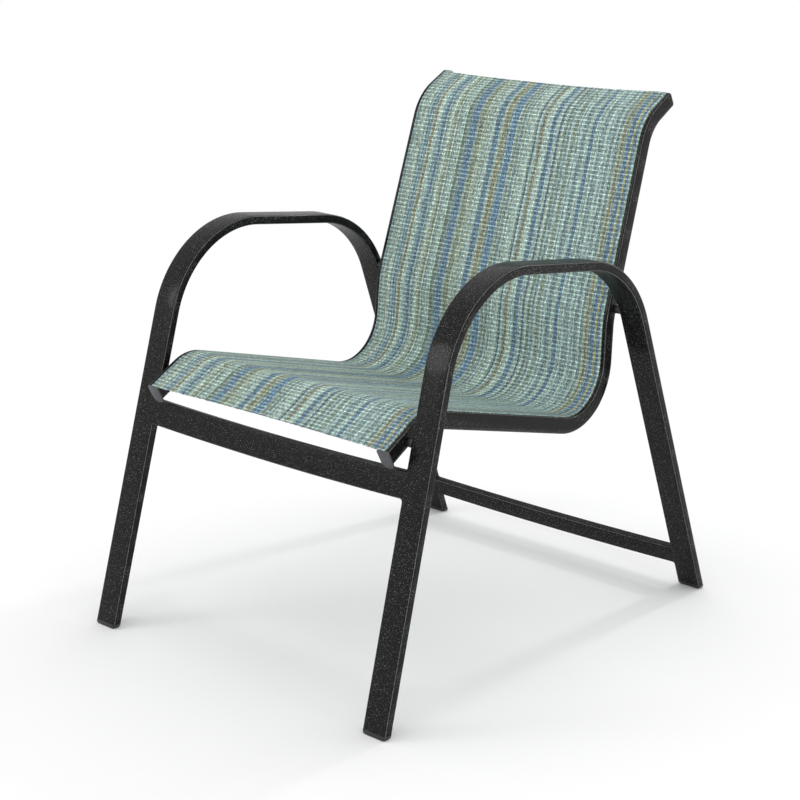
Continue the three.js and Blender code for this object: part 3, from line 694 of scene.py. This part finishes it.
# A bar that bows down between the side frames
def buildBar(name, bar):
    place = stationMatrix(0, bar["y"], bar["z"], bar["tilt"])
    section = roundedRect(bar["thickness"], bar["height"], barEnds["corner"], barEnds["cornerSteps"])
    rings = []
    for i in range(barEnds["steps"] + 1):
        share = 2 * i / barEnds["steps"] - 1
        ring = []
        for deep, high in section:
            spot = place @ Vector((0, deep, high - bar["sag"] * (1 - share * share)))
            reach = frameInnerFace(spot.z) + barEnds["inTube"]
            ring.append(Vector((share * reach, spot.y, spot.z)))
        rings.append(ring)
    # The middles of the bar's corners carry the painted highlight line
    piece = ringMesh(name, rings, sharp=30, edges=cornerMiddles(barEnds["cornerSteps"]))
    return dress(piece, finishes["frame"], "coated_frame", bar["node"])


# Weld beads in the corners between the bars and the tubes
welds = {
    "size": 5.5 * mm,
    "upperShare": 0.7,      # the beads over a bar are smaller
    "root": 0.8 * mm,       # how deep a bead goes into the bar and the tube
    "short": 3 * mm,        # less long than the bar is thick
    "step": 0.5 * mm,
    "ripple": 0.22 * mm,
    "pitch": 2.1 * mm,
    "endPower": 0.25,       # the lower, the blunter are its ends
    "sagShare": 0.04,       # of the bar's sag, where the bead lies
    "curveSteps": 7,
}


def buildWeld(name, bar, side, upper):
    w = welds
    place = stationMatrix(0, bar["y"], bar["z"], bar["tilt"])
    sign = 1 if upper else -1
    run = bar["thickness"] - w["short"]
    count = round(run / w["step"])
    size = w["size"] * (w["upperShare"] if upper else 1.0)
    rings = []
    for i in range(count + 1):
        deep = -run / 2 + run * i / count
        ripple = w["ripple"] * math.sin(math.tau * deep / w["pitch"])
        reach = size * math.sin(math.pi * (i + 0.5) / (count + 1)) ** w["endPower"]
        profile = [(-w["root"], -w["root"]), (reach, -w["root"])]
        for k in range(w["curveSteps"] + 1):
            angle = k / w["curveSteps"] * math.pi / 2
            swell = ripple * math.sin(2 * angle)
            profile.append((reach * (1 - math.sin(angle)) + swell, reach * (1 - math.cos(angle)) + swell))
        profile.append((-w["root"], reach))
        ring = []
        for inward, off in profile:
            high = sign * (bar["height"] / 2 + off) - bar["sag"] * w["sagShare"]
            spot = place @ Vector((0, deep, high))
            ring.append(Vector((side * (frameInnerFace(spot.z) - inward), spot.y, spot.z)))
        rings.append(ring)
    piece = ringMesh(name, rings, sharp=60)
    return dress(piece, finishes["frame"], "coated_frame")


for label, side in sides:
    buildSideFrame(label, side)
    for end in ("front", "rear"):
        buildFootCap(label, end, side)
for name, bar in bars.items():
    buildBar(name, bar)
    for label, side in sides:
        weldName = f"{label}{name[0].upper()}{name[1:]}Weld"
        buildWeld(f"{weldName}Under", bar, side, False)
        buildWeld(f"{weldName}Over", bar, side, True)
print("side tubes, feet, bars and welds made")

# The rails pass over the crest of the seat, dip at its back and run up the back to the head roll
# Each rise is from the crossbar's height, and each run from the bend before or after it
slingRail = {
    "tipAhead": 30.7 * mm, "tipRise": 49.3 * mm,
    "crestRun": 77.8 * mm, "crestRise": 95.3 * mm, "crestRadius": 70 * mm,
    "seatBackRun": 4.3 * mm, "seatBackRise": -3.8 * mm, "seatBackRadius": 76 * mm,
    "lumbarAhead": 28.6 * mm, "lumbarRise": 156.4 * mm, "lumbarRadius": 138 * mm,
    "headRollRun": 87.4 * mm, "headRollRise": 462 * mm, "headRollRadius": 90 * mm,
    "endRun": 65.4 * mm, "endRise": 499.8 * mm, "bendStep": math.radians(2.5),
    "corner": 3.2 * mm, "backCorner": 9.2 * mm, "lipRise": -0.9 * mm,
    "slot": 3.1 * mm, "slotOffset": 3.7 * mm, "slotEdge": 0.5 * mm,
    "bore": 4.79 * mm, "boreDepth": 6.53 * mm, "capThickness": 2.3 * mm,
}
splineRod = {"radius": 2.5 * mm, "sides": 16, "short": 3 * mm}
barZ = bars["frontCrossbar"]["z"]
tipY = bars["frontCrossbar"]["y"] - slingRail["tipAhead"]
lumbarY = half - (barZ + slingRail["lumbarRise"]) * math.tan(rearTilt) - slingRail["lumbarAhead"]
headRollY = lumbarY + slingRail["headRollRun"]
railCorners = [
    (tipY, barZ + slingRail["tipRise"]),
    (tipY + slingRail["crestRun"], barZ + slingRail["crestRise"], slingRail["crestRadius"]),
    (lumbarY - slingRail["seatBackRun"], barZ + slingRail["seatBackRise"], slingRail["seatBackRadius"]),
    (lumbarY, barZ + slingRail["lumbarRise"], slingRail["lumbarRadius"]),
    (headRollY, barZ + slingRail["headRollRise"], slingRail["headRollRadius"]),
    (headRollY + slingRail["endRun"], barZ + slingRail["endRise"]),
]
railLine = bentLine(railCorners, slingRail["bendStep"])
railLine = shortened(railLine, slingRail["capThickness"], slingRail["capThickness"])


def arc(u, v, radius, start, stop, steps):
    angles = [start + (stop - start) * i / steps for i in range(steps + 1)]
    return [(u + radius * math.cos(a), v + radius * math.sin(a)) for a in angles]


# Section of a rail: u outwards from its middle, v out of its face
# It comes with the place of its point in the middle of the outer corner, where a highlight line is painted
def railSection():
    r = slingRail
    wide, quarter, edge, slot = layout["railWidth"] / 2, math.pi / 2, r["slotEdge"], r["slot"] / 2
    backV = -layout["railDepth"] + r["backCorner"]
    outline = arc(r["slotOffset"] + slot + edge, -edge, edge, 2 * quarter, quarter, 3)
    cornerSteps = 6
    paintedHighlightPoint = len(outline) + cornerSteps // 2
    outline += arc(wide - r["corner"], -r["corner"], r["corner"], quarter, 0, cornerSteps)
    outline += arc(wide - r["backCorner"], backV, r["backCorner"], 0, -quarter, 9)
    outline += arc(-wide + r["backCorner"], backV, r["backCorner"], -quarter, -2 * quarter, 9)
    outline += arc(-wide + r["corner"], r["lipRise"] - r["corner"], r["corner"], 2 * quarter, quarter, 5)
    outline += [(r["slotOffset"] - slot, r["lipRise"])]
    mouth = math.asin(slot / r["bore"])
    start, stop = quarter + mouth, quarter + math.tau - mouth
    outline += arc(r["slotOffset"], -r["boreDepth"], r["bore"], start, stop, 20)
    return outline, paintedHighlightPoint


def alongRail(side, section, line):
    return [[railPoint(side, station, u, v) for u, v in section] for station in line]


def buildRail(label, side):
    section, paintedHighlightPoint = railSection()
    rings = alongRail(side, section, railLine)
    # The middle of the outer corner gets the painted highlight line
    piece = ringMesh(f"{label}Rail", rings, sharp=32, edges=(paintedHighlightPoint,))
    return dress(piece, finishes["frame"], "coated_frame", f"{label}_sling_rail")


def buildSpline(label, side):
    line = shortened(railLine, splineRod["short"], splineRod["short"])
    section = [
        (u + slingRail["slotOffset"], v - slingRail["boreDepth"])
        for u, v in circle(splineRod["radius"], splineRod["sides"])
    ]
    piece = ringMesh(f"{label}Spline", alongRail(side, section, line), sharp=60)
    return dress(piece, finishes["splinePlastic"], "spline_plastic", f"{label}_spline_rod")


railCaps = {
    "front": {"finish": "greyPlastic", "slot": "dark_plastic", "edge": 0.9 * mm, "drop": 5 * mm},
    "top": {"finish": "blackPlastic", "slot": "black_plastic", "edge": 0.8 * mm, "drop": 0},
}
capRounding = 0.3   # where the middle ring of a cap's rounded edge lies, as a share of the rounding


# A plate with the rail's outline, rounded towards its outer face
def buildRailCap(label, end, side):
    cap = railCaps[end]
    y, z, angle = railLine[0] if end == "front" else railLine[-1]
    outward = -1 if end == "front" else 1
    wide, low = layout["railWidth"] / 2, -layout["railDepth"] - cap["drop"]
    soft, thick, quarter = cap["edge"], slingRail["capThickness"], math.pi / 2
    middle = soft * capRounding
    rings = []
    for inset, reach in ((0.0, 0.0), (0.0, thick - soft), (middle, thick - middle), (soft, thick)):
        place = (y + outward * reach * math.cos(angle), z + outward * reach * math.sin(angle), angle)
        over, under = slingRail["corner"] - inset, slingRail["backCorner"] - inset
        outline = arc(wide - inset - over, -inset - over, over, quarter, 0, 6)
        outline += arc(wide - inset - under, low + inset + under, under, 0, -quarter, 10)
        outline += arc(-wide + inset + under, low + inset + under, under, -quarter, -2 * quarter, 10)
        outline += arc(-wide + inset + over, -inset - over, over, 2 * quarter, quarter, 6)
        rings.append([railPoint(side, place, u, v) for u, v in outline])
    piece = ringMesh(f"{label}{end.capitalize()}RailCap", rings, sharp=28)
    return dress(piece, finishes[cap["finish"]], cap["slot"], f"{label}_rail_{end}_cap")


for label, side in sides:
    buildRail(label, side)
    buildSpline(label, side)
    for end in railCaps:
        buildRailCap(label, end, side)
print("rails, splines and caps made")

# The cloth as stretched between the rails, with its hems round the splines
clothShape = {
    "thickness": 0.9 * mm,
    "inset": -0.5 * mm,      # from the rail ends to the cut edges
    "seatRise": 0.8 * mm,    # of its face over the ridges of the rails
    "backRise": 1.7 * mm,
    "backFrom": 470 * mm,    # along the cloth, where it starts to rise more
    "backReach": 120 * mm,
    "topSlant": 5 * mm,      # the right corner of the top edge sits lower
    "slantFrom": 0.2,        # of the half width
    "restWidth": 14 * mm,    # from the middle of the rail to where the sag starts
    "visibleTo": 2.3 * mm,   # from the middle of the rail to where the cloth goes out of sight
    "sag": 4 * mm,
    "bendSagShare": 0.5,
    "bendWindow": 25 * mm,
    "bendStep": math.radians(2),
    "frontPull": 6 * mm,
    "topPull": 3 * mm,
    "pullReach": 60 * mm,
    "rowSpacing": 3.55 * mm,
    "columns": 178,
    "hemStep": 3.5 * mm,
    "hemPoints": 5,
    "enter": 0.8 * mm,       # how far inside the middle of the slot the cloth goes down
    "bend": 1.3 * mm,
    "bendPoints": 5,
    "loopRadius": 3.4 * mm,
    "loopTurn": 0.86,        # of a full turn round the spline
    "loopSteps": 18,
    "fray": 0.55 * mm,
    "fraySeed": 11,
}
clothLine = bentLine(railCorners, clothShape["bendStep"])
clothLengths = lengthsAlong(clothLine)
clothLength = clothLengths[-1] - 2 * (slingRail["capThickness"] + clothShape["inset"])


# How much the cloth bends at a length, from 0 on a straight to 1 in the middle of a bend
def bendAt(length):
    window = clothShape["bendWindow"]
    before, after = (stationAt(clothLine, clothLengths, length + way * window)[2] for way in (-1, 1))
    return min(1.0, abs(after - before) / (2 * window / slingRail["crestRadius"]))


# (u, v) of the cloth's middle layer from the rail's face into the slot and round the spline
def hemLine(rise):
    c = clothShape
    low = rise - c["thickness"] / 2
    goesDown = slingRail["slotOffset"] - c["enter"]
    points = [(-c["restWidth"] + c["hemStep"] * i, low) for i in range(c["hemPoints"])]
    points += arc(goesDown - c["bend"], low - c["bend"], c["bend"], math.pi / 2, 0, c["bendPoints"])
    entry = math.acos(-c["enter"] / c["loopRadius"])
    turn = c["loopTurn"] * math.tau
    middle = slingRail["slotOffset"], -slingRail["boreDepth"]
    return points + arc(*middle, c["loopRadius"], entry, entry + turn, c["loopSteps"])


def buildCloth():
    c = clothShape
    rng = random.Random(c["fraySeed"])
    rows = round(clothLength / c["rowSpacing"])
    start = slingRail["capThickness"] + c["inset"]
    frayFront = [rng.uniform(-1, 1) * c["fray"] for _ in range(c["columns"] + 1)]
    frayTop = [rng.uniform(-1, 1) * c["fray"] for _ in range(c["columns"] + 1)]
    vertices, uvs, count = [], [], 0
    for row in range(rows + 1):
        base = start + clothLength * row / rows
        bend = bendAt(base)
        sag = c["sag"] * (1 - bend * (1 - c["bendSagShare"]))
        onBack = min(1.0, max(0.0, (base - c["backFrom"]) / c["backReach"]))
        hem = hemLine(c["seatRise"] + (c["backRise"] - c["seatRise"]) * onBack)
        line = []
        for column in range(c["columns"] + 1):
            share = 2 * column / c["columns"] - 1
            slack = 1 - share * share
            fromFront, fromTop = base - start, start + clothLength - base
            pull = c["frontPull"] * slack * math.exp(-fromFront / c["pullReach"])
            slant = max(0.0, -share - c["slantFrom"]) / (1 - c["slantFrom"])
            low = c["topPull"] * slack + c["topSlant"] * slant
            pull -= low * math.exp(-fromTop / c["pullReach"])
            if row == 0:
                pull += frayFront[column]
            if row == rows:
                pull += frayTop[column]
            station = stationAt(clothLine, clothLengths, base + pull)
            edge = railPoint(1, station, hem[0][0], hem[0][1])
            angle, drop = station[2], sag * slack
            spot = Vector((edge.x * share, edge.y + drop * math.sin(angle), edge.z - drop * math.cos(angle)))
            visible = railPoint(1, station, c["visibleTo"], 0).x
            line.append((spot, 0.5 + 0.5 * spot.x / visible, base + pull))
        station = stationAt(clothLine, clothLengths, base)
        visible = railPoint(1, station, c["visibleTo"], 0).x
        left, right, walked = [], [], 0.0
        for i in range(1, len(hem)):
            walked += math.dist(hem[i], hem[i - 1])
            for side, part in ((1, left), (-1, right)):
                spot = railPoint(side, station, *hem[i])
                across = (edge.x + walked) / visible * side
                part.append((spot, 0.5 + 0.5 * across, base))
        line = right[::-1] + line + left
        count = len(line)
        vertices += [spot for spot, _, _ in line]
        uvs += [(u, v) for _, u, v in line]
    faces = []
    for row in range(rows):
        for i in range(count - 1):
            a = row * count + i
            faces.append((a, a + 1, a + count + 1, a + count))
    mesh = bpy.data.meshes.new("slingCloth")
    mesh.from_pydata([tuple(v) for v in vertices], [], faces)
    weave = mesh.uv_layers.new(name="weave")
    for loop in mesh.loops:
        weave.data[loop.index].uv = uvs[loop.vertex_index]
    mesh.shade_smooth()
    piece = bpy.data.objects.new("slingCloth", mesh)
    scene.collection.objects.link(piece)
    thick = piece.modifiers.new("thickness", "SOLIDIFY")
    thick.thickness = c["thickness"]
    thick.offset = 0
    with bpy.context.temp_override(object=piece, active_object=piece, selected_objects=[piece]):
        bpy.ops.object.modifier_apply(modifier=thick.name)
    return piece


cloth = buildCloth()
dress(cloth, finishes["cloth"], "sling_cloth", "sling_fabric")

# Bars that hold the rails apart; they bow down, and each end has a plug
spreaders = {
    "seat": {"y": bars["frontCrossbar"]["y"] + 388.7 * mm, "sag": 15 * mm},
    "back": {"z": barZ + 373.5 * mm, "sag": 22 * mm},
    "diameter": 16 * mm,
    "wall": 2.2 * mm,
    "sides": 24,
    "steps": 48,
    "plug": 14 * mm,
    "flange": 2 * mm,
    "flangeLip": 0.6 * mm,
    "lipShares": (0.7, 0.25),   # of the flange, from where to where its lip is
    "pinDiameter": 6.5 * mm,
    "pin": 7 * mm,
}


# The station where a line passes a value of y (axis 0) or z (axis 1)
def stationWhere(line, axis, value):
    for a, b in zip(line, line[1:]):
        if min(a[axis], b[axis]) <= value <= max(a[axis], b[axis]):
            share = (value - a[axis]) / (b[axis] - a[axis])
            return tuple(p + (q - p) * share for p, q in zip(a, b))


def buildSpreader(kind):
    s, spec = spreaders, spreaders[kind]
    station = stationWhere(railLine, 0, spec["y"]) if "y" in spec else stationWhere(railLine, 1, spec["z"])
    face = layout["railWidth"] / 2 + layout["fitGap"] / 2
    seat = railPoint(1, station, -face, -layout["pinDepth"])
    place = stationMatrix(0, seat.y, seat.z, station[2])
    end = seat.x - s["flange"] - layout["fitGap"]
    reach = end - s["plug"] - s["flange"]
    radius = s["diameter"] / 2
    spots = [Vector((-end, 0, 0))]
    for i in range(s["steps"] + 1):
        share = 2 * i / s["steps"] - 1
        spots.append(Vector((share * reach, 0, -spec["sag"] * (1 - share * share) ** 2)))
    spots.append(Vector((end, 0, 0)))
    rings = []
    for i, spot in enumerate(spots):
        before, after = spots[max(0, i - 1)], spots[min(len(spots) - 1, i + 1)]
        along = (after - before).normalized() if 0 < i < len(spots) - 1 else Vector((1, 0, 0))
        up = Vector((-along.z, 0, along.x))
        rings.append([place @ (spot + Vector((0, 1, 0)) * a + up * b) for a, b in circle(radius, s["sides"])])
    piece = ringMesh(f"{kind}Spreader", rings, sharp=50)
    dress(piece, finishes["frame"], "coated_frame", f"{kind}_spreader_bar")
    bore, lip = radius - s["wall"], radius + s["flangeLip"]
    lipStart, lipEnd = (-s["flange"] * share for share in s["lipShares"])
    outline = [
        (0, -s["plug"]), (bore, -s["plug"]), (bore, -s["flange"]), (radius, -s["flange"]),
        (lip, lipStart), (lip, lipEnd), (radius, 0),
        (s["pinDiameter"] / 2, 0), (s["pinDiameter"] / 2, s["pin"]), (0, s["pin"]),
    ]
    for label, side in sides:
        plug = turned(f"{label}{kind.capitalize()}SpreaderPlug", outline)
        where = Matrix.Translation((side * seat.x, seat.y, seat.z)) @ railTurn(side)
        moved(plug, where @ Matrix.Rotation(side * math.pi / 2, 4, "Y"))
        dress(plug, finishes["blackPlastic"], "black_plastic", f"{label}_{kind}_spreader_plug")


for kind in ("seat", "back"):
    buildSpreader(kind)
print("spreader bars made")

# Each rail is bolted to both legs beside it, with a washer, a spacer and a rivet nut
fasteners = {
    "bolt": 6 * mm,
    "shankPast": 12 * mm,       # how far it goes past the spacer
    "head": 11 * mm,
    "headHeight": 3.6 * mm,
    "headRim": 0.5 * mm,
    "headFlat": 0.56,           # of the head's radius
    "headSteps": 6,
    "socket": 2.0 * mm,         # from the middle to a flat
    "socketDepth": 2.2 * mm,
    "sides": 24,
    "washer": 12 * mm,
    "washerThickness": 1.2 * mm,
    "washerEdge": 0.25 * mm,
    "spacer": 13 * mm,
    "spacerEdge": 0.6 * mm,
    "nutFlange": 1.2 * mm,
}


# A button head with a hexagon socket; its seat is at zero and the shank runs up Z
def buildBolt(name, length):
    f = fasteners
    r, h, flat, middle = f["head"] / 2, f["headHeight"], f["headFlat"], f["bolt"] / 2

    def ring(radius, height):
        return [Vector((x, y, height)) for x, y in circle(radius, f["sides"])]

    def socketRing(height):
        spots = []
        for x, y in circle(f["socket"], f["sides"]):
            fromFlat = math.atan2(y, x) % (math.pi / 3) - math.pi / 6
            spots.append(Vector((x / math.cos(fromFlat), y / math.cos(fromFlat), height)))
        return spots

    rings = [socketRing(-h + f["socketDepth"]), socketRing(-h), ring(r * flat, -h)]
    for k in range(1, f["headSteps"] + 1):
        angle = k / f["headSteps"] * math.pi / 2
        rise = (h - f["headRim"]) * (1 - math.cos(angle))
        rings.append(ring(r * (flat + (1 - flat) * math.sin(angle)), -h + rise))
    rings += [ring(r, 0), ring(middle, 0), ring(middle, length)]
    return ringMesh(name, rings, sharp=35)


def boxMiddle(node):
    low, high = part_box(node)
    return (Vector(low) + Vector(high)) / 2


# Bolt, washer and spacer that hold a rail to the leg beside it
def buildJoint(label, end, side, gap):
    f, clear = fasteners, layout["fitGap"]
    level = railTurn(side) @ Matrix.Rotation(side * math.pi / 2, 4, "Y")
    name = f"{label}{end.capitalize()}"

    def placeAt(node, start):
        return Matrix.Translation(boxMiddle(node)) @ level @ Matrix.Translation((0, 0, start))

    place = placeAt(f"{label}_{end}_washer", -f["washerThickness"] / 2)
    bolt = buildBolt(f"{name}Bolt", layout["railWidth"] + gap + f["shankPast"])
    dress(moved(bolt, place), finishes["steel"], "stainless", f"{label}_{end}_bolt")
    hole = f["bolt"] / 2 + clear
    washer = ringPiece(f"{name}Washer", f["washer"] / 2, hole, f["washerThickness"], f["washerEdge"])
    dress(moved(washer, place), finishes["steel"], "stainless", f"{label}_{end}_washer")
    length = gap - 2 * clear   # it hides the flange of the rivet nut
    spacer = ringPiece(f"{name}Spacer", f["spacer"] / 2, hole, length, f["spacerEdge"])
    moved(spacer, placeAt(f"{label}_{end}_spacer", -(length - f["nutFlange"]) / 2))
    dress(spacer, finishes["blackPlastic"], "black_plastic", f"{label}_{end}_spacer")


for label, side in sides:
    buildJoint(label, "front", side, layout["frontRailGap"])
    buildJoint(label, "back", side, layout["railGap"])
    # The rivet nuts are right as they are and only get their finish
    for end in ("front", "back"):
        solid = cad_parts[f"{label}_{end}_rivet_nut"]
        solid.data.materials.clear()
        solid.data.materials.append(finishes["steel"])
print("fasteners made")

# A white room; the floor fades to pure white, and four lamps draw the edges of the frame, besides the
# highlight painted along its corners
studio = {
    "white": (1, 1, 1, 1),
    "floorColor": (0.97, 0.97, 0.97, 1),
    "floorRadius": 8.0,
    "floorSides": 96,
    "floorRoughness": 0.9,
    "floorGloss": 0.1,
    "floorFade": (0.75, 1.5),   # distances from the middle of the chair
    "skyLevel": 0.92,
    "target": (0, 0, 0.4),      # where the lamps point
    "lamps": {
        "topLamp": {"where": (-0.5, 0.5, 2.6), "size": 2.2, "watts": 4},
        "frontLamp": {"where": (-2.0, -2.9, 1.7), "size": 1.5, "watts": 19},
        "backLamp": {"where": (0.3, 2.6, 2.6), "size": 0.3, "watts": 13},
        "sideLamp": {"where": (3.0, -0.5, 0.5), "size": 0.35, "watts": 11},
    },
}


# 1 for what the camera sees straight, mirrored or through something clear, else 0
def seenOrMirrored(tree):
    path = addNode(tree, "ShaderNodeLightPath")
    both = calc(tree, "MAXIMUM", path.outputs["Is Camera Ray"], path.outputs["Is Glossy Ray"])
    return calc(tree, "MAXIMUM", both, path.outputs["Is Transmission Ray"])


def buildFloor():
    mesh = bpy.data.meshes.new("floor")
    spots = circle(studio["floorRadius"], studio["floorSides"])
    mesh.from_pydata([(x, y, 0) for x, y in spots], [], [tuple(range(len(spots)))])
    floor = bpy.data.objects.new("floor", mesh)
    scene.collection.objects.link(floor)
    material, tree, shader = startMaterial("studioFloor")
    feed(tree, shader, {
        "Base Color": studio["floorColor"],
        "Roughness": studio["floorRoughness"],
        "Specular IOR Level": studio["floorGloss"],
    })
    where = addNode(tree, "ShaderNodeNewGeometry").outputs["Position"]
    distance = addNode(tree, "ShaderNodeVectorMath", {0: where}, operation="LENGTH").outputs["Value"]
    fade = between(tree, distance, *studio["floorFade"])
    glow = addNode(tree, "ShaderNodeEmission", {"Color": studio["white"], "Strength": 1.0})
    share = calc(tree, "MULTIPLY", fade, seenOrMirrored(tree))
    join = addNode(tree, "ShaderNodeMixShader", {0: share, 1: shader.outputs[0], 2: glow.outputs[0]})
    feed(tree, tree.nodes["Material Output"], {0: join.outputs[0]})
    floor.data.materials.append(material)


def buildLamp(name, spec):
    light = bpy.data.lights.new(name, "AREA")
    light.shape = "DISK"
    light.size = spec["size"]
    light.energy = spec["watts"]
    lamp = bpy.data.objects.new(name, light)
    scene.collection.objects.link(lamp)
    lamp.location = spec["where"]
    lamp.rotation_mode = "QUATERNION"
    towards = Vector(studio["target"]) - Vector(spec["where"])
    lamp.rotation_quaternion = towards.to_track_quat("-Z", "Y")


def buildWorld():
    world = bpy.data.worlds.new("studioWorld")
    scene.world = world
    world.use_nodes = True
    tree = world.node_tree
    level = between(tree, seenOrMirrored(tree), 0, 1, studio["skyLevel"], 1.0, smooth=False)
    feed(tree, tree.nodes["Background"], {"Color": studio["white"], "Strength": level})


# The camera as solved from the frame's lines in the photograph
view = {
    "where": (1.76084, -2.12762, 1.10051),
    "yaw": math.radians(40.25),
    "pitch": math.radians(15.22),
    "roll": math.radians(1.85),
    "lens": 80.36,
    "sensor": 36,
}


def buildCamera():
    yaw, pitch, roll = view["yaw"], view["pitch"], view["roll"]
    forward = Vector((-math.sin(yaw) * math.cos(pitch), math.cos(yaw) * math.cos(pitch), -math.sin(pitch)))
    level = Vector((math.cos(yaw), math.sin(yaw), 0))
    rise = level.cross(forward)
    right = level * math.cos(roll) + rise * math.sin(roll)
    up = rise * math.cos(roll) - level * math.sin(roll)
    camera = bpy.data.objects.new("camera", bpy.data.cameras.new("camera"))
    scene.collection.objects.link(camera)
    camera.data.lens = view["lens"]
    camera.data.sensor_width = view["sensor"]
    camera.matrix_world = Matrix((
        (right.x, up.x, -forward.x, view["where"][0]),
        (right.y, up.y, -forward.y, view["where"][1]),
        (right.z, up.z, -forward.z, view["where"][2]),
        (0, 0, 0, 1),
    ))
    scene.camera = camera


buildFloor()
buildWorld()
for name, lamp in studio["lamps"].items():
    buildLamp(name, lamp)
buildCamera()
print("studio and camera made")

bpy.context.view_layer.update()
